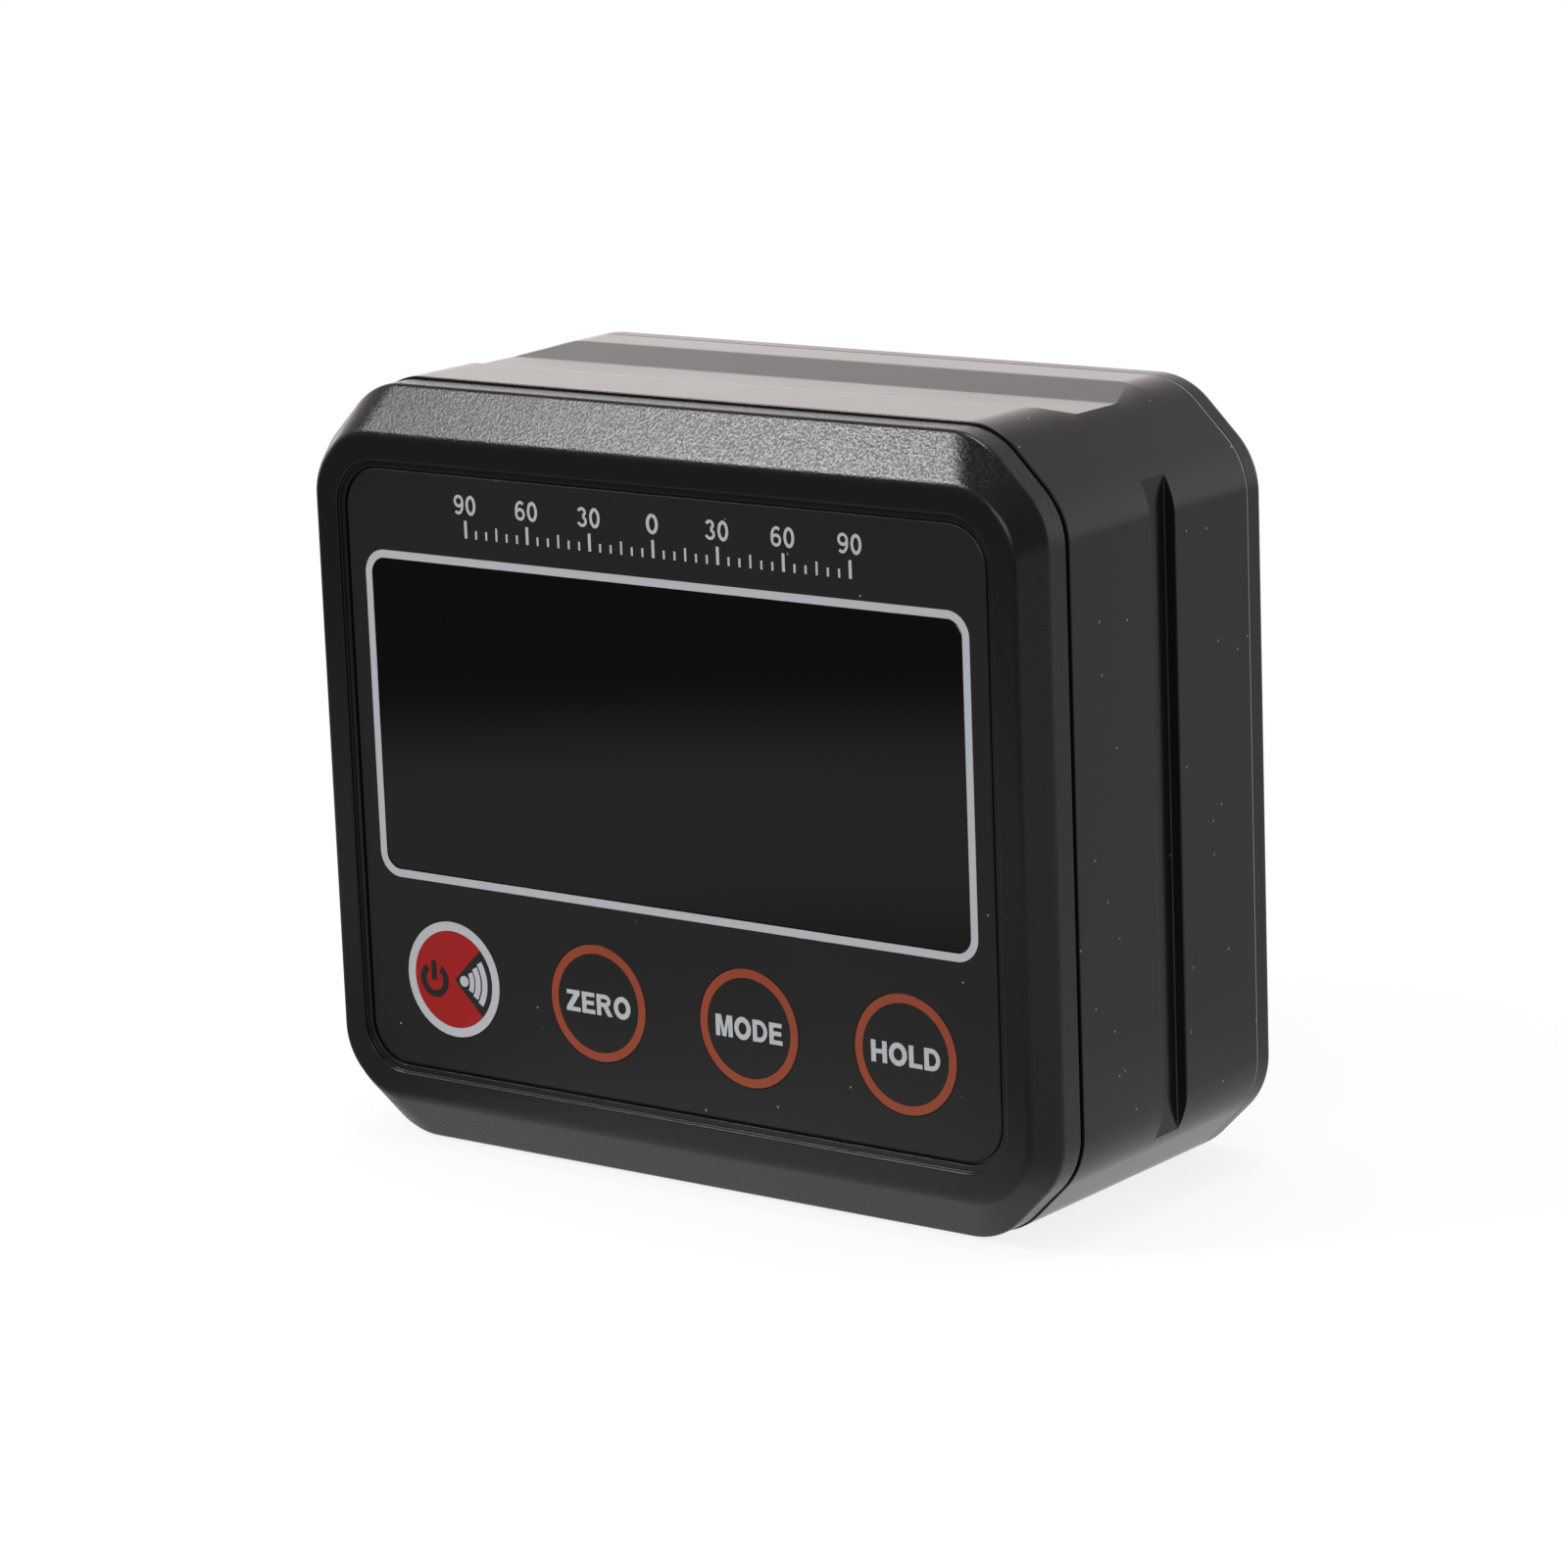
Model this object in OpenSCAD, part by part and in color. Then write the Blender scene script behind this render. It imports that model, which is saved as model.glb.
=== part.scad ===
// Digital angle gauge: a boxed electronic level with a display and four keys on its face.
// Frame: X to the right, Y to the rear, Z up. The origin lies under the middle of the base.

/* [Case] */
// Width of the case
case_w = 68; // [66:0.5:76]
// Height of the case
case_h = 60; // [59:0.5:66]
// Depth of the case, front rim to rear face
case_d = 32; // [31.5:0.5:36]
// Leg of the cut across each corner
corner_cut = 6; // [5:0.25:7]
// Radius that blends a corner cut into the sides
corner_r = 6; // [4:0.25:6.5]
// Wall of the body housing
wall = 2.4; // [2.2:0.1:2.8]
// Length of the tongues that register the shells in each other
tongue_d = 1.2; // [0.8:0.1:2]
// Wall of those tongues
tongue_t = 1; // [0.8:0.1:1.2]

/* [Front bezel] */
// Depth of the bezel, front rim to seam
bezel_d = 4.55; // [4.2:0.05:5.5]
// Step of the bezel inside the outline of the body
bezel_step = 0.1; // [0:0.05:0.3]
// Depth of the sloped border
slope_d = 2.35; // [1.8:0.05:3]
// Inset of the sloped border at the sides
slope_side = 1.39; // [1:0.05:2]
// Inset of the sloped border at top and bottom
slope_top = 3.77; // [3:0.05:4.2]
// Leg of the corner cut of the front rim
rim_cut = 3.15; // [3:0.05:4]
// Corner radius of the front rim
rim_r = 5; // [4:0.1:5]
// Width of the flat front rim
rim_w = 2.05; // [1.6:0.05:2.6]
// Corner radius of the recess for the overlay
recess_r = 3.9; // [3:0.1:4.5]
// Depth of the recess for the overlay
recess_d = 0.7; // [0.5:0.05:0.9]
// Wall behind the recess
front_wall = 1.7; // [1.4:0.1:2]
// Gap of the seam between bezel and body
seam_gap = 0.3; // [0.2:0.05:0.5]
// Depth of that seam
seam_depth = 0.8; // [0.5:0.1:1.2]

/* [Face] */
// Thickness of the overlay film
film_t = 0.26; // [0.2:0.02:0.4]
// Gap between the film and the wall of its recess
film_gap = 0.72; // [0.4:0.02:0.9]
// Corner radius of the film
film_r = 3.2; // [2.5:0.1:3.6]
// Border of the film beside the display window
window_side = 2.19; // [1.8:0.01:4]
// Border of the film above the display window
window_top = 6.87; // [6:0.01:8]
// Border of the film below the display window
window_bottom = 15.55; // [15.2:0.01:17]
// Corner radius of the window
window_r = 1.3; // [0.8:0.1:2]
// Thickness of the window
window_t = 1.2; // [1:0.1:1.4]
// Ledge that the window rests on
window_ledge = 0.9; // [0.6:0.1:1.2]
// Diameter of a key
key_d = 9.1; // [8.5:0.1:9.4]
// Distance of the outer keys from the side edges of the film
key_side = 8.34; // [7.8:0.02:9.5]
// Height of the row of keys above the lower edge of the film
key_rise = 7.34; // [7:0.02:7.6]
// Travel of a key
key_travel = 0.25; // [0.15:0.05:0.35]
// Thickness of the flange that keeps a key in the bezel
key_flange_t = 0.8; // [0.6:0.1:1]
// Overhang of that flange past the key
key_flange = 0.8; // [0.6:0.1:0.9]
// Diameter of the stem of a key
key_stem_d = 3; // [2.4:0.1:3.6]

/* [Body] */
// Land on the top between the seam and the groove
groove_land = 7.1; // [6:0.1:8]
// Length of the front slope of the top groove
groove_front = 2.45; // [2:0.05:3]
// Width of the floor of the top groove
groove_floor = 5; // [4:0.1:6]
// Length of the rear slope of the top groove
groove_rear = 5.05; // [4:0.05:5.5]
// Depth of the top groove
groove_depth = 0.73; // [0.5:0.05:1.1]
// Distance from the seam to the slot in each side
slot_land = 10.42; // [9:0.1:12]
// Width of the slot in each side
slot_w = 3.06; // [2.5:0.1:4]
// Depth of the slot in each side
slot_depth = 0.86; // [0.5:0.05:1]
// Length of a base magnet
magnet_l = 18; // [14:0.5:20]
// Width of a base magnet
magnet_w = 7; // [6:0.5:8]
// Thickness of a base magnet
magnet_t = 2.6; // [2:0.1:3]
// Distance of each base magnet from the middle
magnet_x = 13; // [12:0.5:13.5]
// Height of the ribs that locate a magnet
magnet_rib_h = 1.8; // [1:0.1:2]

/* [Rear cover] */
// Thickness of the cover at its edge
cover_edge = 1.73; // [1.4:0.05:2.2]
// Depth of the bevel round the rear face
bevel_d = 2.16; // [1.8:0.05:2.6]
// Inset of that bevel
bevel_in = 3; // [2.4:0.1:3.4]
// Wall of the rear face
cover_wall = 1.8; // [1.6:0.1:2]
// Thickness of the battery door
door_t = 1.6; // [1.4:0.05:1.6]
// Ledge that the battery door rests on
door_ledge = 1.2; // [1:0.1:1.4]
// Wall of the battery compartment
box_wall = 1.8; // [1.6:0.1:2.2]
// Width of a hinge tab of the battery door
tab_w = 6; // [5:0.5:8]
// Length of a hinge tab past the door
tab_l = 1.3; // [1:0.1:1.4]
// Thickness of a hinge tab
tab_t = 0.7; // [0.6:0.05:0.8]
// Distance of each hinge tab from the middle
tab_x = 15; // [12:0.5:18]
// Number of grip grooves on the battery door
grip_count = 5; // [3:1:6]

/* [Electronics] */
// Thickness of the display glass
lcd_t = 1.8; // [1.6:0.1:2]
// Height of the display glass past the window
lcd_over_h = 2.7; // [2:0.1:2.8]
// Width of the display glass past the window
lcd_over_w = 1.7; // [1.4:0.1:2]
// Thickness of the backlight
light_t = 2.3; // [2.2:0.1:2.8]
// Height of the contact strip below the backlight
strip_h = 2; // [1.6:0.1:2.4]
// Thickness of the circuit board
board_t = 1.2; // [1:0.1:1.6]
// Side of a key switch
switch_w = 4.6; // [4:0.1:5]
// Thickness of a key switch without its button
switch_t = 1.5; // [1.3:0.1:1.6]
// Diameter of the button of a key switch
switch_button_d = 2.2; // [1.8:0.1:2.6]
// Side of the tilt sensor
sensor_w = 4; // [3:0.1:5]
// Thickness of the tilt sensor
sensor_t = 1; // [0.8:0.1:1.2]
// Side of the controller chip
chip_w = 9; // [7:0.1:10]
// Thickness of the controller chip
chip_t = 1.4; // [1:0.1:1.6]
// Diameter of the sounder
sounder_d = 12; // [9:0.5:14]
// Height of the sounder
sounder_h = 4.5; // [3:0.1:5]

/* [Power] */
// Diameter of a battery cell
cell_d = 10.5; // [10.2:0.1:10.5]
// Length of a battery cell with its positive nub
cell_l = 44.5; // [43.5:0.1:45]
// Distance between the cells
cell_pitch = 11; // [10.8:0.1:11.4]
// Diameter of the positive nub
nub_d = 3.8; // [3.4:0.1:4.2]
// Length of the positive nub
nub_l = 1; // [0.8:0.1:1.2]
// Length of a fitted contact spring
spring_l = 4.5; // [4:0.1:5]
// Diameter of the spring wire
spring_wire = 0.6; // [0.5:0.05:0.7]
// Thickness of a contact plate
plate_t = 0.4; // [0.3:0.05:0.6]
// Width of a contact plate
plate_w = 8; // [7:0.5:9]

/* [Fasteners] */
// Distance of the case screws from the sides
screw_in = 6.8; // [6.6:0.1:7]
// Diameter of a case screw
screw_d = 2.2; // [2:0.1:2.4]
// Diameter of the head of a case screw
screw_head_d = 4; // [3.6:0.1:4.2]
// Thickness of the head of a case screw
screw_head_t = 1.4; // [1.2:0.1:1.6]
// Depth of the head below the rear face
screw_sink = 2; // [1.8:0.1:2]
// Outer diameter of the screw bosses
boss_d = 5.2; // [5:0.1:5.4]
// Length of the bezel bosses past the seam
boss_past = 5.15; // [4.5:0.05:6]
// Diameter of a board screw
board_screw_d = 1.6; // [1.4:0.1:1.8]
// Outer diameter of the board posts
post_d = 3.6; // [3.4:0.1:4]

/* [Clearances] */
// Gap between pieces that fit in each other
fit_gap = 0.15; // [0.1:0.01:0.2]
// Gap round a glued or seated piece
seat_gap = 0.05; // [0.03:0.01:0.1]
// Gap between a key and its bore
key_gap = 0.15; // [0.1:0.01:0.2]
// Gap round the battery door
door_gap = 0.2; // [0.15:0.01:0.3]
// Gap round a screw in its hole
screw_gap = 0.05; // [0.03:0.01:0.1]

/* [Hidden] */
$fn = 48;

// Overlap of pieces of one solid that are joined, and reach of a cut past a face
lap = 0.5;
// Steps of an arc of 45 degrees
arc_n = 6;

shell_black = [0.09, 0.09, 0.095];
body_black = [0.11, 0.11, 0.115];
film_black = [0.07, 0.07, 0.075];
smoke_black = [0.03, 0.03, 0.03];
key_red = [0.65, 0.15, 0.16];
board_green = [0.1, 0.3, 0.2];
nickel = [0.75, 0.75, 0.72];

half_w = case_w / 2;
half_h = case_h / 2;
mid_z = half_h;
y_front = -case_d / 2;
y_rear = case_d / 2;
y_slope = y_front + slope_d;
y_band = y_front + bezel_d;
y_body_front = y_band + seam_gap;
y_bevel = y_rear - bevel_d;
y_body_rear = y_bevel - cover_edge;
y_recess = y_front + recess_d;
y_film = y_recess - film_t;
y_inside = y_recess + front_wall;
film_half_w = half_w - slope_side - rim_w - film_gap;
film_half_h = half_h - slope_top - rim_w - film_gap;
film_low = mid_z - film_half_h;
window_w = 2 * (film_half_w - window_side);
window_h = 2 * film_half_h - window_top - window_bottom;
window_z = film_low + window_bottom + window_h / 2;
key_pitch = 2 * (film_half_w - key_side) / 3;
key_z = film_low + key_rise;
tongue_in = wall + fit_gap;
bezel_wall = tongue_in + tongue_t;

// Corner posts and screws
screw_x = half_w - screw_in;
screw_z = half_h - screw_in;
y_boss = y_body_front + boss_past;
y_screw_seat = y_rear - screw_sink;
y_screw_tip = y_inside - front_wall / 3;

// Stack behind the face
y_lcd = y_inside + lcd_t;
y_board = y_lcd + light_t;
y_board_rear = y_board + board_t;
lcd_w = window_w + lcd_over_w;
lcd_h = window_h + lcd_over_h;
lcd_low = window_z - lcd_h / 2;
board_gap = 0.5;
board_half_w = half_w - bezel_wall - board_gap;
board_half_h = half_h - bezel_wall - board_gap;
board_reach = screw_x + screw_z - (boss_d / 2 + board_gap) * sqrt(2);
board_cut = board_half_w + board_half_h - board_reach;
post_x = key_pitch;
post_z = half_h - bezel_wall - board_gap - post_d / 2;

// Keys and their switches
KEY_X = [-1.5 * key_pitch, -0.5 * key_pitch, 0.5 * key_pitch, 1.5 * key_pitch];
key_bore_d = key_d + 2 * key_gap;
key_flange_d = key_d + 2 * key_flange;
y_flange = y_inside + 2 * seat_gap;
y_flange_rear = y_flange + key_flange_t;
switch_button_h = 0.5;
y_switch = y_board - switch_t;
y_button = y_switch - switch_button_h;
y_stem = y_button - key_travel - seat_gap;

// Battery compartment
y_door = y_rear - door_t;
y_cell = y_door - 2 * fit_gap - cell_d / 2;
y_box_floor = y_cell - cell_d / 2 - 2 * fit_gap;
y_box_front = y_box_floor - box_wall;
box_half_x = (cell_l + spring_l) / 2 + plate_t + seat_gap;
box_half_z = (cell_pitch + cell_d) / 2 + 2 * fit_gap;
seat_half_x = box_half_x + door_ledge;
seat_half_z = box_half_z + door_ledge;
door_half_x = seat_half_x - door_gap;
door_half_z = seat_half_z - door_gap;
door_low = mid_z - door_half_z;
plate_x = box_half_x - seat_gap - plate_t;
cell_shift = spring_l / 2;
spring_r_plate = plate_w / 2 - spring_wire;
spring_r_cell = nub_d / 2 + spring_wire / 2;
spring_turns = 4;
spring_steps = 12;
spring_sides = 6;

// Points of an arc from angle a0 to a1, in steps that both ends share
function arc_points(cx, cz, r, a0, a1) =
    [for (i = [0:arc_n]) let (a = a0 + (a1 - a0) * i / arc_n) [cx + r * cos(a), cz + r * sin(a)]];

// One corner of an outline with half sizes a and b: a 45 degree cut blended by two arcs
function cut_corner(a, b, cut, r) =
    let (t = r * tan(22.5))
    concat(arc_points(a - r, b - cut - t, r, 0, 45), arc_points(a - cut - t, b - r, r, 45, 90));

// Mirrors a corner into a whole outline, counter-clockwise seen from the front
function outline(corner) =
    let (n = len(corner) - 1)
    concat(
        corner,
        [for (i = [n:-1:0]) [-corner[i][0], corner[i][1]]],
        [for (p = corner) -p],
        [for (i = [n:-1:0]) [corner[i][0], -corner[i][1]]]
    );

// Outline of the case, moved inwards by inset with its cuts kept parallel
function case_ring(inset) =
    outline(cut_corner(
        half_w - inset,
        half_h - inset,
        corner_cut - inset * (2 - sqrt(2)),
        max(corner_r - inset, wall / 2)
    ));

function rim_ring() = outline(cut_corner(half_w - slope_side, half_h - slope_top, rim_cut, rim_r));

function round_ring(a, b, r) =
    outline([for (i = [0:2 * arc_n]) let (t = 45 * i / arc_n) [a - r + r * cos(t), b - r + r * sin(t)]]);

function ring_at(ring, y) = [for (p = ring) [p[0], y, p[1] + mid_z]];

// Solid through rings of equal length that follow each other along Y
module loft(rings) {
    n = len(rings[0]);
    last = len(rings) - 1;
    sides = [
        for (k = [0:last - 1]) for (i = [0:n - 1]) let (a = k * n + i, b = k * n + (i + 1) % n)
            each [[a, b, b + n], [a, b + n, a + n]]
    ];
    front = [for (i = [n - 1:-1:0]) i];
    rear = [for (i = [0:n - 1]) last * n + i];
    polyhedron(points = [for (ring = rings) each ring], faces = concat([front, rear], sides));
}

// Extrudes an outline drawn about the middle of the face, from y0 to y1
module slab(y0, y1) {
    translate([0, y1, mid_z]) rotate([90, 0, 0]) linear_extrude(height = y1 - y0) children();
}

// Cylinder along Y from y0 to y1
module rod(x, z, d, y0, y1) {
    translate([x, y0, z]) rotate([-90, 0, 0]) cylinder(d = d, h = y1 - y0);
}

// Box between two corners
module block(low, high) {
    translate(low) cube(high - low);
}

module at_case_screws() {
    for (sx = [-1, 1]) for (sz = [-1, 1]) translate([sx * screw_x, 0, mid_z + sz * screw_z]) children();
}

module at_board_screws() {
    for (sx = [-1, 1]) for (sz = [-1, 1]) translate([sx * post_x, 0, mid_z + sz * post_z]) children();
}

module window_outline(grow) {
    translate([0, window_z - mid_z]) polygon(round_ring(window_w / 2 + grow, window_h / 2 + grow, window_r));
}

module key_holes(d, y0, y1) {
    for (x = KEY_X) rod(x, key_z, d, y0, y1);
}

// Sloped front frame with its seam step, registering tongue, recess, window and key bores
module bezel_shell() {
    difference() {
        union() {
            loft([
                ring_at(rim_ring(), y_front),
                ring_at(case_ring(bezel_step), y_slope),
                ring_at(case_ring(bezel_step), y_band)
            ]);
            slab(y_band - lap, y_body_front) polygon(case_ring(seam_depth));
            slab(y_body_front - lap, y_body_front + tongue_d) polygon(case_ring(tongue_in));
        }
        slab(y_inside, y_body_front + tongue_d + lap) polygon(case_ring(bezel_wall));
        slab(y_front - lap, y_recess)
            polygon(round_ring(half_w - slope_side - rim_w, half_h - slope_top - rim_w, recess_r));
        slab(y_film - lap, y_film + window_t) window_outline(2 * seat_gap);
        slab(y_film, y_inside + lap) window_outline(-window_ledge);
        key_holes(key_bore_d, y_front, y_inside + lap);
    }
}

module front_bezel() {
    color(shell_black) difference() {
        union() {
            bezel_shell();
            at_case_screws() rod(0, 0, boss_d, y_inside - lap, y_boss);
            at_board_screws() rod(0, 0, post_d, y_inside - lap, y_board);
        }
        at_case_screws() rod(0, 0, screw_d + 2 * screw_gap, y_screw_tip - 2 * seat_gap, y_boss + lap);
        at_board_screws() rod(0, 0, board_screw_d + 2 * screw_gap, y_inside, y_board + lap);
    }
}

// Groove across the top: a flat floor between a short front slope and a long rear slope
module top_groove() {
    y0 = y_body_front + groove_land;
    y1 = y0 + groove_front;
    y2 = y1 + groove_floor;
    y3 = y2 + groove_rear;
    floor_z = case_h - groove_depth;
    rotate([90, 0, 90])
        linear_extrude(height = case_w + 2 * lap, center = true)
            polygon([[y0, case_h], [y1, floor_z], [y2, floor_z], [y3, case_h], [y3, case_h + lap], [y0, case_h + lap]]);
}

module side_slots() {
    y0 = y_body_front + slot_land;
    for (sx = [-1, 1])
        translate([sx * (half_w - slot_depth / 2 + lap / 2), y0 + slot_w / 2, mid_z])
            cube([slot_depth + lap, slot_w, case_h + 2 * lap], center = true);
}

// Post for a case screw, tied to the corner wall by a rib
module corner_post(sx, sz) {
    rib_l = 2 * boss_d / 2;
    translate([sx * screw_x, y_boss, mid_z + sz * screw_z]) {
        rotate([-90, 0, 0]) cylinder(d = boss_d, h = y_body_rear - y_boss);
        rotate([0, -sx * sz * 45, 0])
            translate([sx > 0 ? 0 : -rib_l, 0, -boss_d / 4])
                cube([rib_l, y_body_rear - tongue_d - lap - y_boss, boss_d / 2]);
    }
}

magnet_y = y_body_front + groove_land + groove_front + groove_floor / 2;

// Low ribs on the floor of the body that locate one magnet
module magnet_ribs(sx) {
    rib = 1;
    open_l = magnet_l + 2 * fit_gap;
    open_w = magnet_w + 2 * fit_gap;
    translate([sx * magnet_x, magnet_y, wall - lap]) difference() {
        translate([0, 0, (magnet_rib_h + lap) / 2]) cube([open_l + 2 * rib, open_w + 2 * rib, magnet_rib_h + lap], center = true);
        translate([0, 0, (magnet_rib_h + lap) / 2]) cube([open_l, open_w, magnet_rib_h + 3 * lap], center = true);
    }
}

module body_housing() {
    color(body_black) difference() {
        union() {
            difference() {
                slab(y_body_front, y_body_rear) polygon(case_ring(0));
                slab(y_body_front - lap, y_body_rear + lap) polygon(case_ring(wall));
            }
            intersection() {
                for (sx = [-1, 1]) for (sz = [-1, 1]) corner_post(sx, sz);
                slab(y_body_front, y_body_rear) polygon(case_ring(wall / 2));
            }
            for (sx = [-1, 1]) magnet_ribs(sx);
        }
        top_groove();
        side_slots();
        at_case_screws() rod(0, 0, screw_d + 4 * screw_gap, y_boss - lap, y_body_rear + lap);
    }
}

// Plate with a bevelled rear face, hollowed from the front
module cover_plate() {
    difference() {
        loft([
            ring_at(case_ring(0), y_body_rear),
            ring_at(case_ring(0), y_bevel),
            ring_at(case_ring(bevel_in), y_rear)
        ]);
        slab(y_body_rear - lap, y_rear - cover_wall) polygon(case_ring(bezel_wall + tongue_t));
    }
}

module battery_box() {
    block(
        [-box_half_x - box_wall, y_box_front, mid_z - box_half_z - box_wall],
        [box_half_x + box_wall, y_rear - cover_wall + lap, mid_z + box_half_z + box_wall]
    );
}

// Pockets behind the lower edge of the door opening, where its hinge tabs turn
module tab_pockets() {
    reach = door_gap + tab_l + 2 * fit_gap;
    y1 = y_door + tab_t + fit_gap;
    y0 = y_door - tab_t - fit_gap;
    for (sx = [-1, 1])
        block(
            [sx * tab_x - tab_w / 2 - 2 * fit_gap, y0, door_low - reach],
            [sx * tab_x + tab_w / 2 + 2 * fit_gap, y1, door_low + door_ledge + fit_gap]
        );
}

// Scoop for a fingertip above the battery door
module finger_scoop() {
    scoop_r = 4;
    scoop_w = 14;
    translate([-scoop_w / 2, y_rear + scoop_r - cover_wall * 2 / 3, mid_z + seat_half_z])
        rotate([0, 90, 0]) cylinder(r = scoop_r, h = scoop_w);
}

module rear_cover() {
    color(shell_black) difference() {
        union() {
            cover_plate();
            slab(y_body_rear - tongue_d, y_body_rear + lap) difference() {
                polygon(case_ring(tongue_in));
                polygon(case_ring(bezel_wall));
            }
            at_case_screws() rod(0, 0, screw_head_d + 2 * tongue_t, y_body_rear, y_rear - cover_wall + lap);
            battery_box();
        }
        block(
            [-box_half_x, y_box_floor, mid_z - box_half_z],
            [box_half_x, y_rear + lap, mid_z + box_half_z]
        );
        block(
            [-seat_half_x, y_door, mid_z - seat_half_z],
            [seat_half_x, y_rear + lap, mid_z + seat_half_z]
        );
        tab_pockets();
        finger_scoop();
        at_case_screws() rod(0, 0, screw_d + 4 * screw_gap, y_body_rear - lap, y_rear + lap);
        at_case_screws() rod(0, 0, screw_head_d + 4 * fit_gap, y_screw_seat, y_rear + lap);
    }
}

// Lift-off door: hooks in at its lower edge and swings out from the top
module battery_door() {
    grip_w = 16;
    grip_cut = 0.4;
    grip_pitch = 1.6;
    grip_top = mid_z + door_half_z - 3 * grip_pitch;
    color(shell_black) difference() {
        union() {
            block([-door_half_x, y_door, door_low], [door_half_x, y_rear, mid_z + door_half_z]);
            for (sx = [-1, 1])
                block(
                    [sx * tab_x - tab_w / 2, y_door, door_low - tab_l],
                    [sx * tab_x + tab_w / 2, y_door + tab_t, door_low + lap]
                );
        }
        for (i = [0:grip_count - 1])
            block(
                [-grip_w / 2, y_rear - grip_cut, grip_top - i * grip_pitch - grip_pitch / 4],
                [grip_w / 2, y_rear + lap, grip_top - i * grip_pitch + grip_pitch / 4]
            );
    }
}

module face_overlay() {
    color(film_black) difference() {
        slab(y_film, y_recess) difference() {
            polygon(round_ring(film_half_w, film_half_h, film_r));
            window_outline(seat_gap);
        }
        key_holes(key_bore_d, y_film - lap, y_recess + lap);
    }
}

module display_window() {
    color(smoke_black) slab(y_film, y_film + window_t) window_outline(0);
}

module lcd_panel() {
    color(smoke_black) block([-lcd_w / 2, y_inside, lcd_low], [lcd_w / 2, y_lcd, lcd_low + lcd_h]);
}

module lcd_backlight() {
    light_low = lcd_low + strip_h + 2 * fit_gap;
    color("white") block([-lcd_w / 2, y_lcd, light_low], [lcd_w / 2, y_board, lcd_low + lcd_h]);
}

module lcd_contact_strip() {
    strip_in = 3;
    color("dimgray")
        block([-lcd_w / 2 + strip_in, y_lcd, lcd_low], [lcd_w / 2 - strip_in, y_board, lcd_low + strip_h]);
}

module main_board() {
    color(board_green) difference() {
        slab(y_board, y_board_rear) polygon(outline([
            [board_half_w, board_half_h - board_cut],
            [board_half_w - board_cut, board_half_h]
        ]));
        at_board_screws() rod(0, 0, board_screw_d + 4 * screw_gap, y_board - lap, y_board_rear + lap);
    }
}

// Flat chip on the rear of the board
module board_chip(x, z, side, t) {
    block([x - side / 2, y_board_rear, z - side / 2], [x + side / 2, y_board_rear + t, z + side / 2]);
}

module tilt_sensor() {
    color("black") board_chip(0, mid_z, sensor_w, sensor_t);
}

module controller_chip() {
    color("black") board_chip(-board_half_w / 2, mid_z, chip_w, chip_t);
}

module sounder() {
    sound_hole_d = 2;
    x = board_half_w / 2;
    color("black") difference() {
        rod(x, mid_z, sounder_d, y_board_rear, y_board_rear + sounder_h);
        rod(x, mid_z, sound_hole_d, y_board_rear + sounder_h / 2, y_board_rear + sounder_h + lap);
    }
}

// Key cap in its bore, with the flange that keeps it in and the stem that meets its switch
module key(x) {
    rod(x, key_z, key_d, y_film, y_flange + lap);
    rod(x, key_z, key_flange_d, y_flange, y_flange_rear);
    rod(x, key_z, key_stem_d, y_flange, y_stem);
}

module power_key() {
    color(key_red) key(KEY_X[0]);
}

module zero_key() {
    color(film_black) key(KEY_X[1]);
}

module mode_key() {
    color(film_black) key(KEY_X[2]);
}

module hold_key() {
    color(film_black) key(KEY_X[3]);
}

// Key switch on the front of the board
module key_switch(x) {
    color("dimgray") {
        block([x - switch_w / 2, y_switch, key_z - switch_w / 2], [x + switch_w / 2, y_board, key_z + switch_w / 2]);
        rod(x, key_z, switch_button_d, y_button, y_switch + lap);
    }
}

module power_switch() {
    key_switch(KEY_X[0]);
}

module zero_switch() {
    key_switch(KEY_X[1]);
}

module mode_switch() {
    key_switch(KEY_X[2]);
}

module hold_switch() {
    key_switch(KEY_X[3]);
}

// Cell along X with its nub towards sx, pushed against the plate on that side
module cell(sx, z) {
    can_l = cell_l - nub_l;
    color("lightslategray") translate([sx * (cell_shift + cell_l / 2), y_cell, z]) rotate([0, -sx * 90, 0]) {
        cylinder(d = nub_d, h = nub_l + lap);
        translate([0, 0, nub_l]) cylinder(d = cell_d, h = can_l);
    }
}

cell_z_upper = mid_z + cell_pitch / 2;
cell_z_lower = mid_z - cell_pitch / 2;

module upper_cell() {
    cell(-1, cell_z_upper);
}

module lower_cell() {
    cell(1, cell_z_lower);
}

// Contact plate at one end of the compartment, from z0 to z1
module contact_plate(sx, z0, z1) {
    x0 = sx > 0 ? plate_x : -plate_x - plate_t;
    color(nickel) block([x0, y_cell - plate_w / 2, z0], [x0 + plate_t, y_cell + plate_w / 2, z1]);
}

module bridge_contact() {
    contact_plate(-1, cell_z_lower - plate_w / 2, cell_z_upper + plate_w / 2);
}

module negative_contact() {
    contact_plate(1, cell_z_upper - plate_w / 2, cell_z_upper + plate_w / 2);
}

module positive_contact() {
    contact_plate(1, cell_z_lower - plate_w / 2, cell_z_lower + plate_w / 2);
}

// Ring of wire points of a conical spring, at share t of its length from the plate
function spring_ring(t) =
    let (
        a = 360 * spring_turns * t,
        r = spring_r_plate + (spring_r_cell - spring_r_plate) * t,
        h = spring_wire / 2 + seat_gap + (spring_l - spring_wire - 2 * seat_gap) * t
    )
    [for (s = [0:spring_sides - 1]) let (b = 360 * s / spring_sides, rr = r + spring_wire / 2 * cos(b))
        [rr * cos(a), rr * sin(a), h + spring_wire / 2 * sin(b)]];

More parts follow.
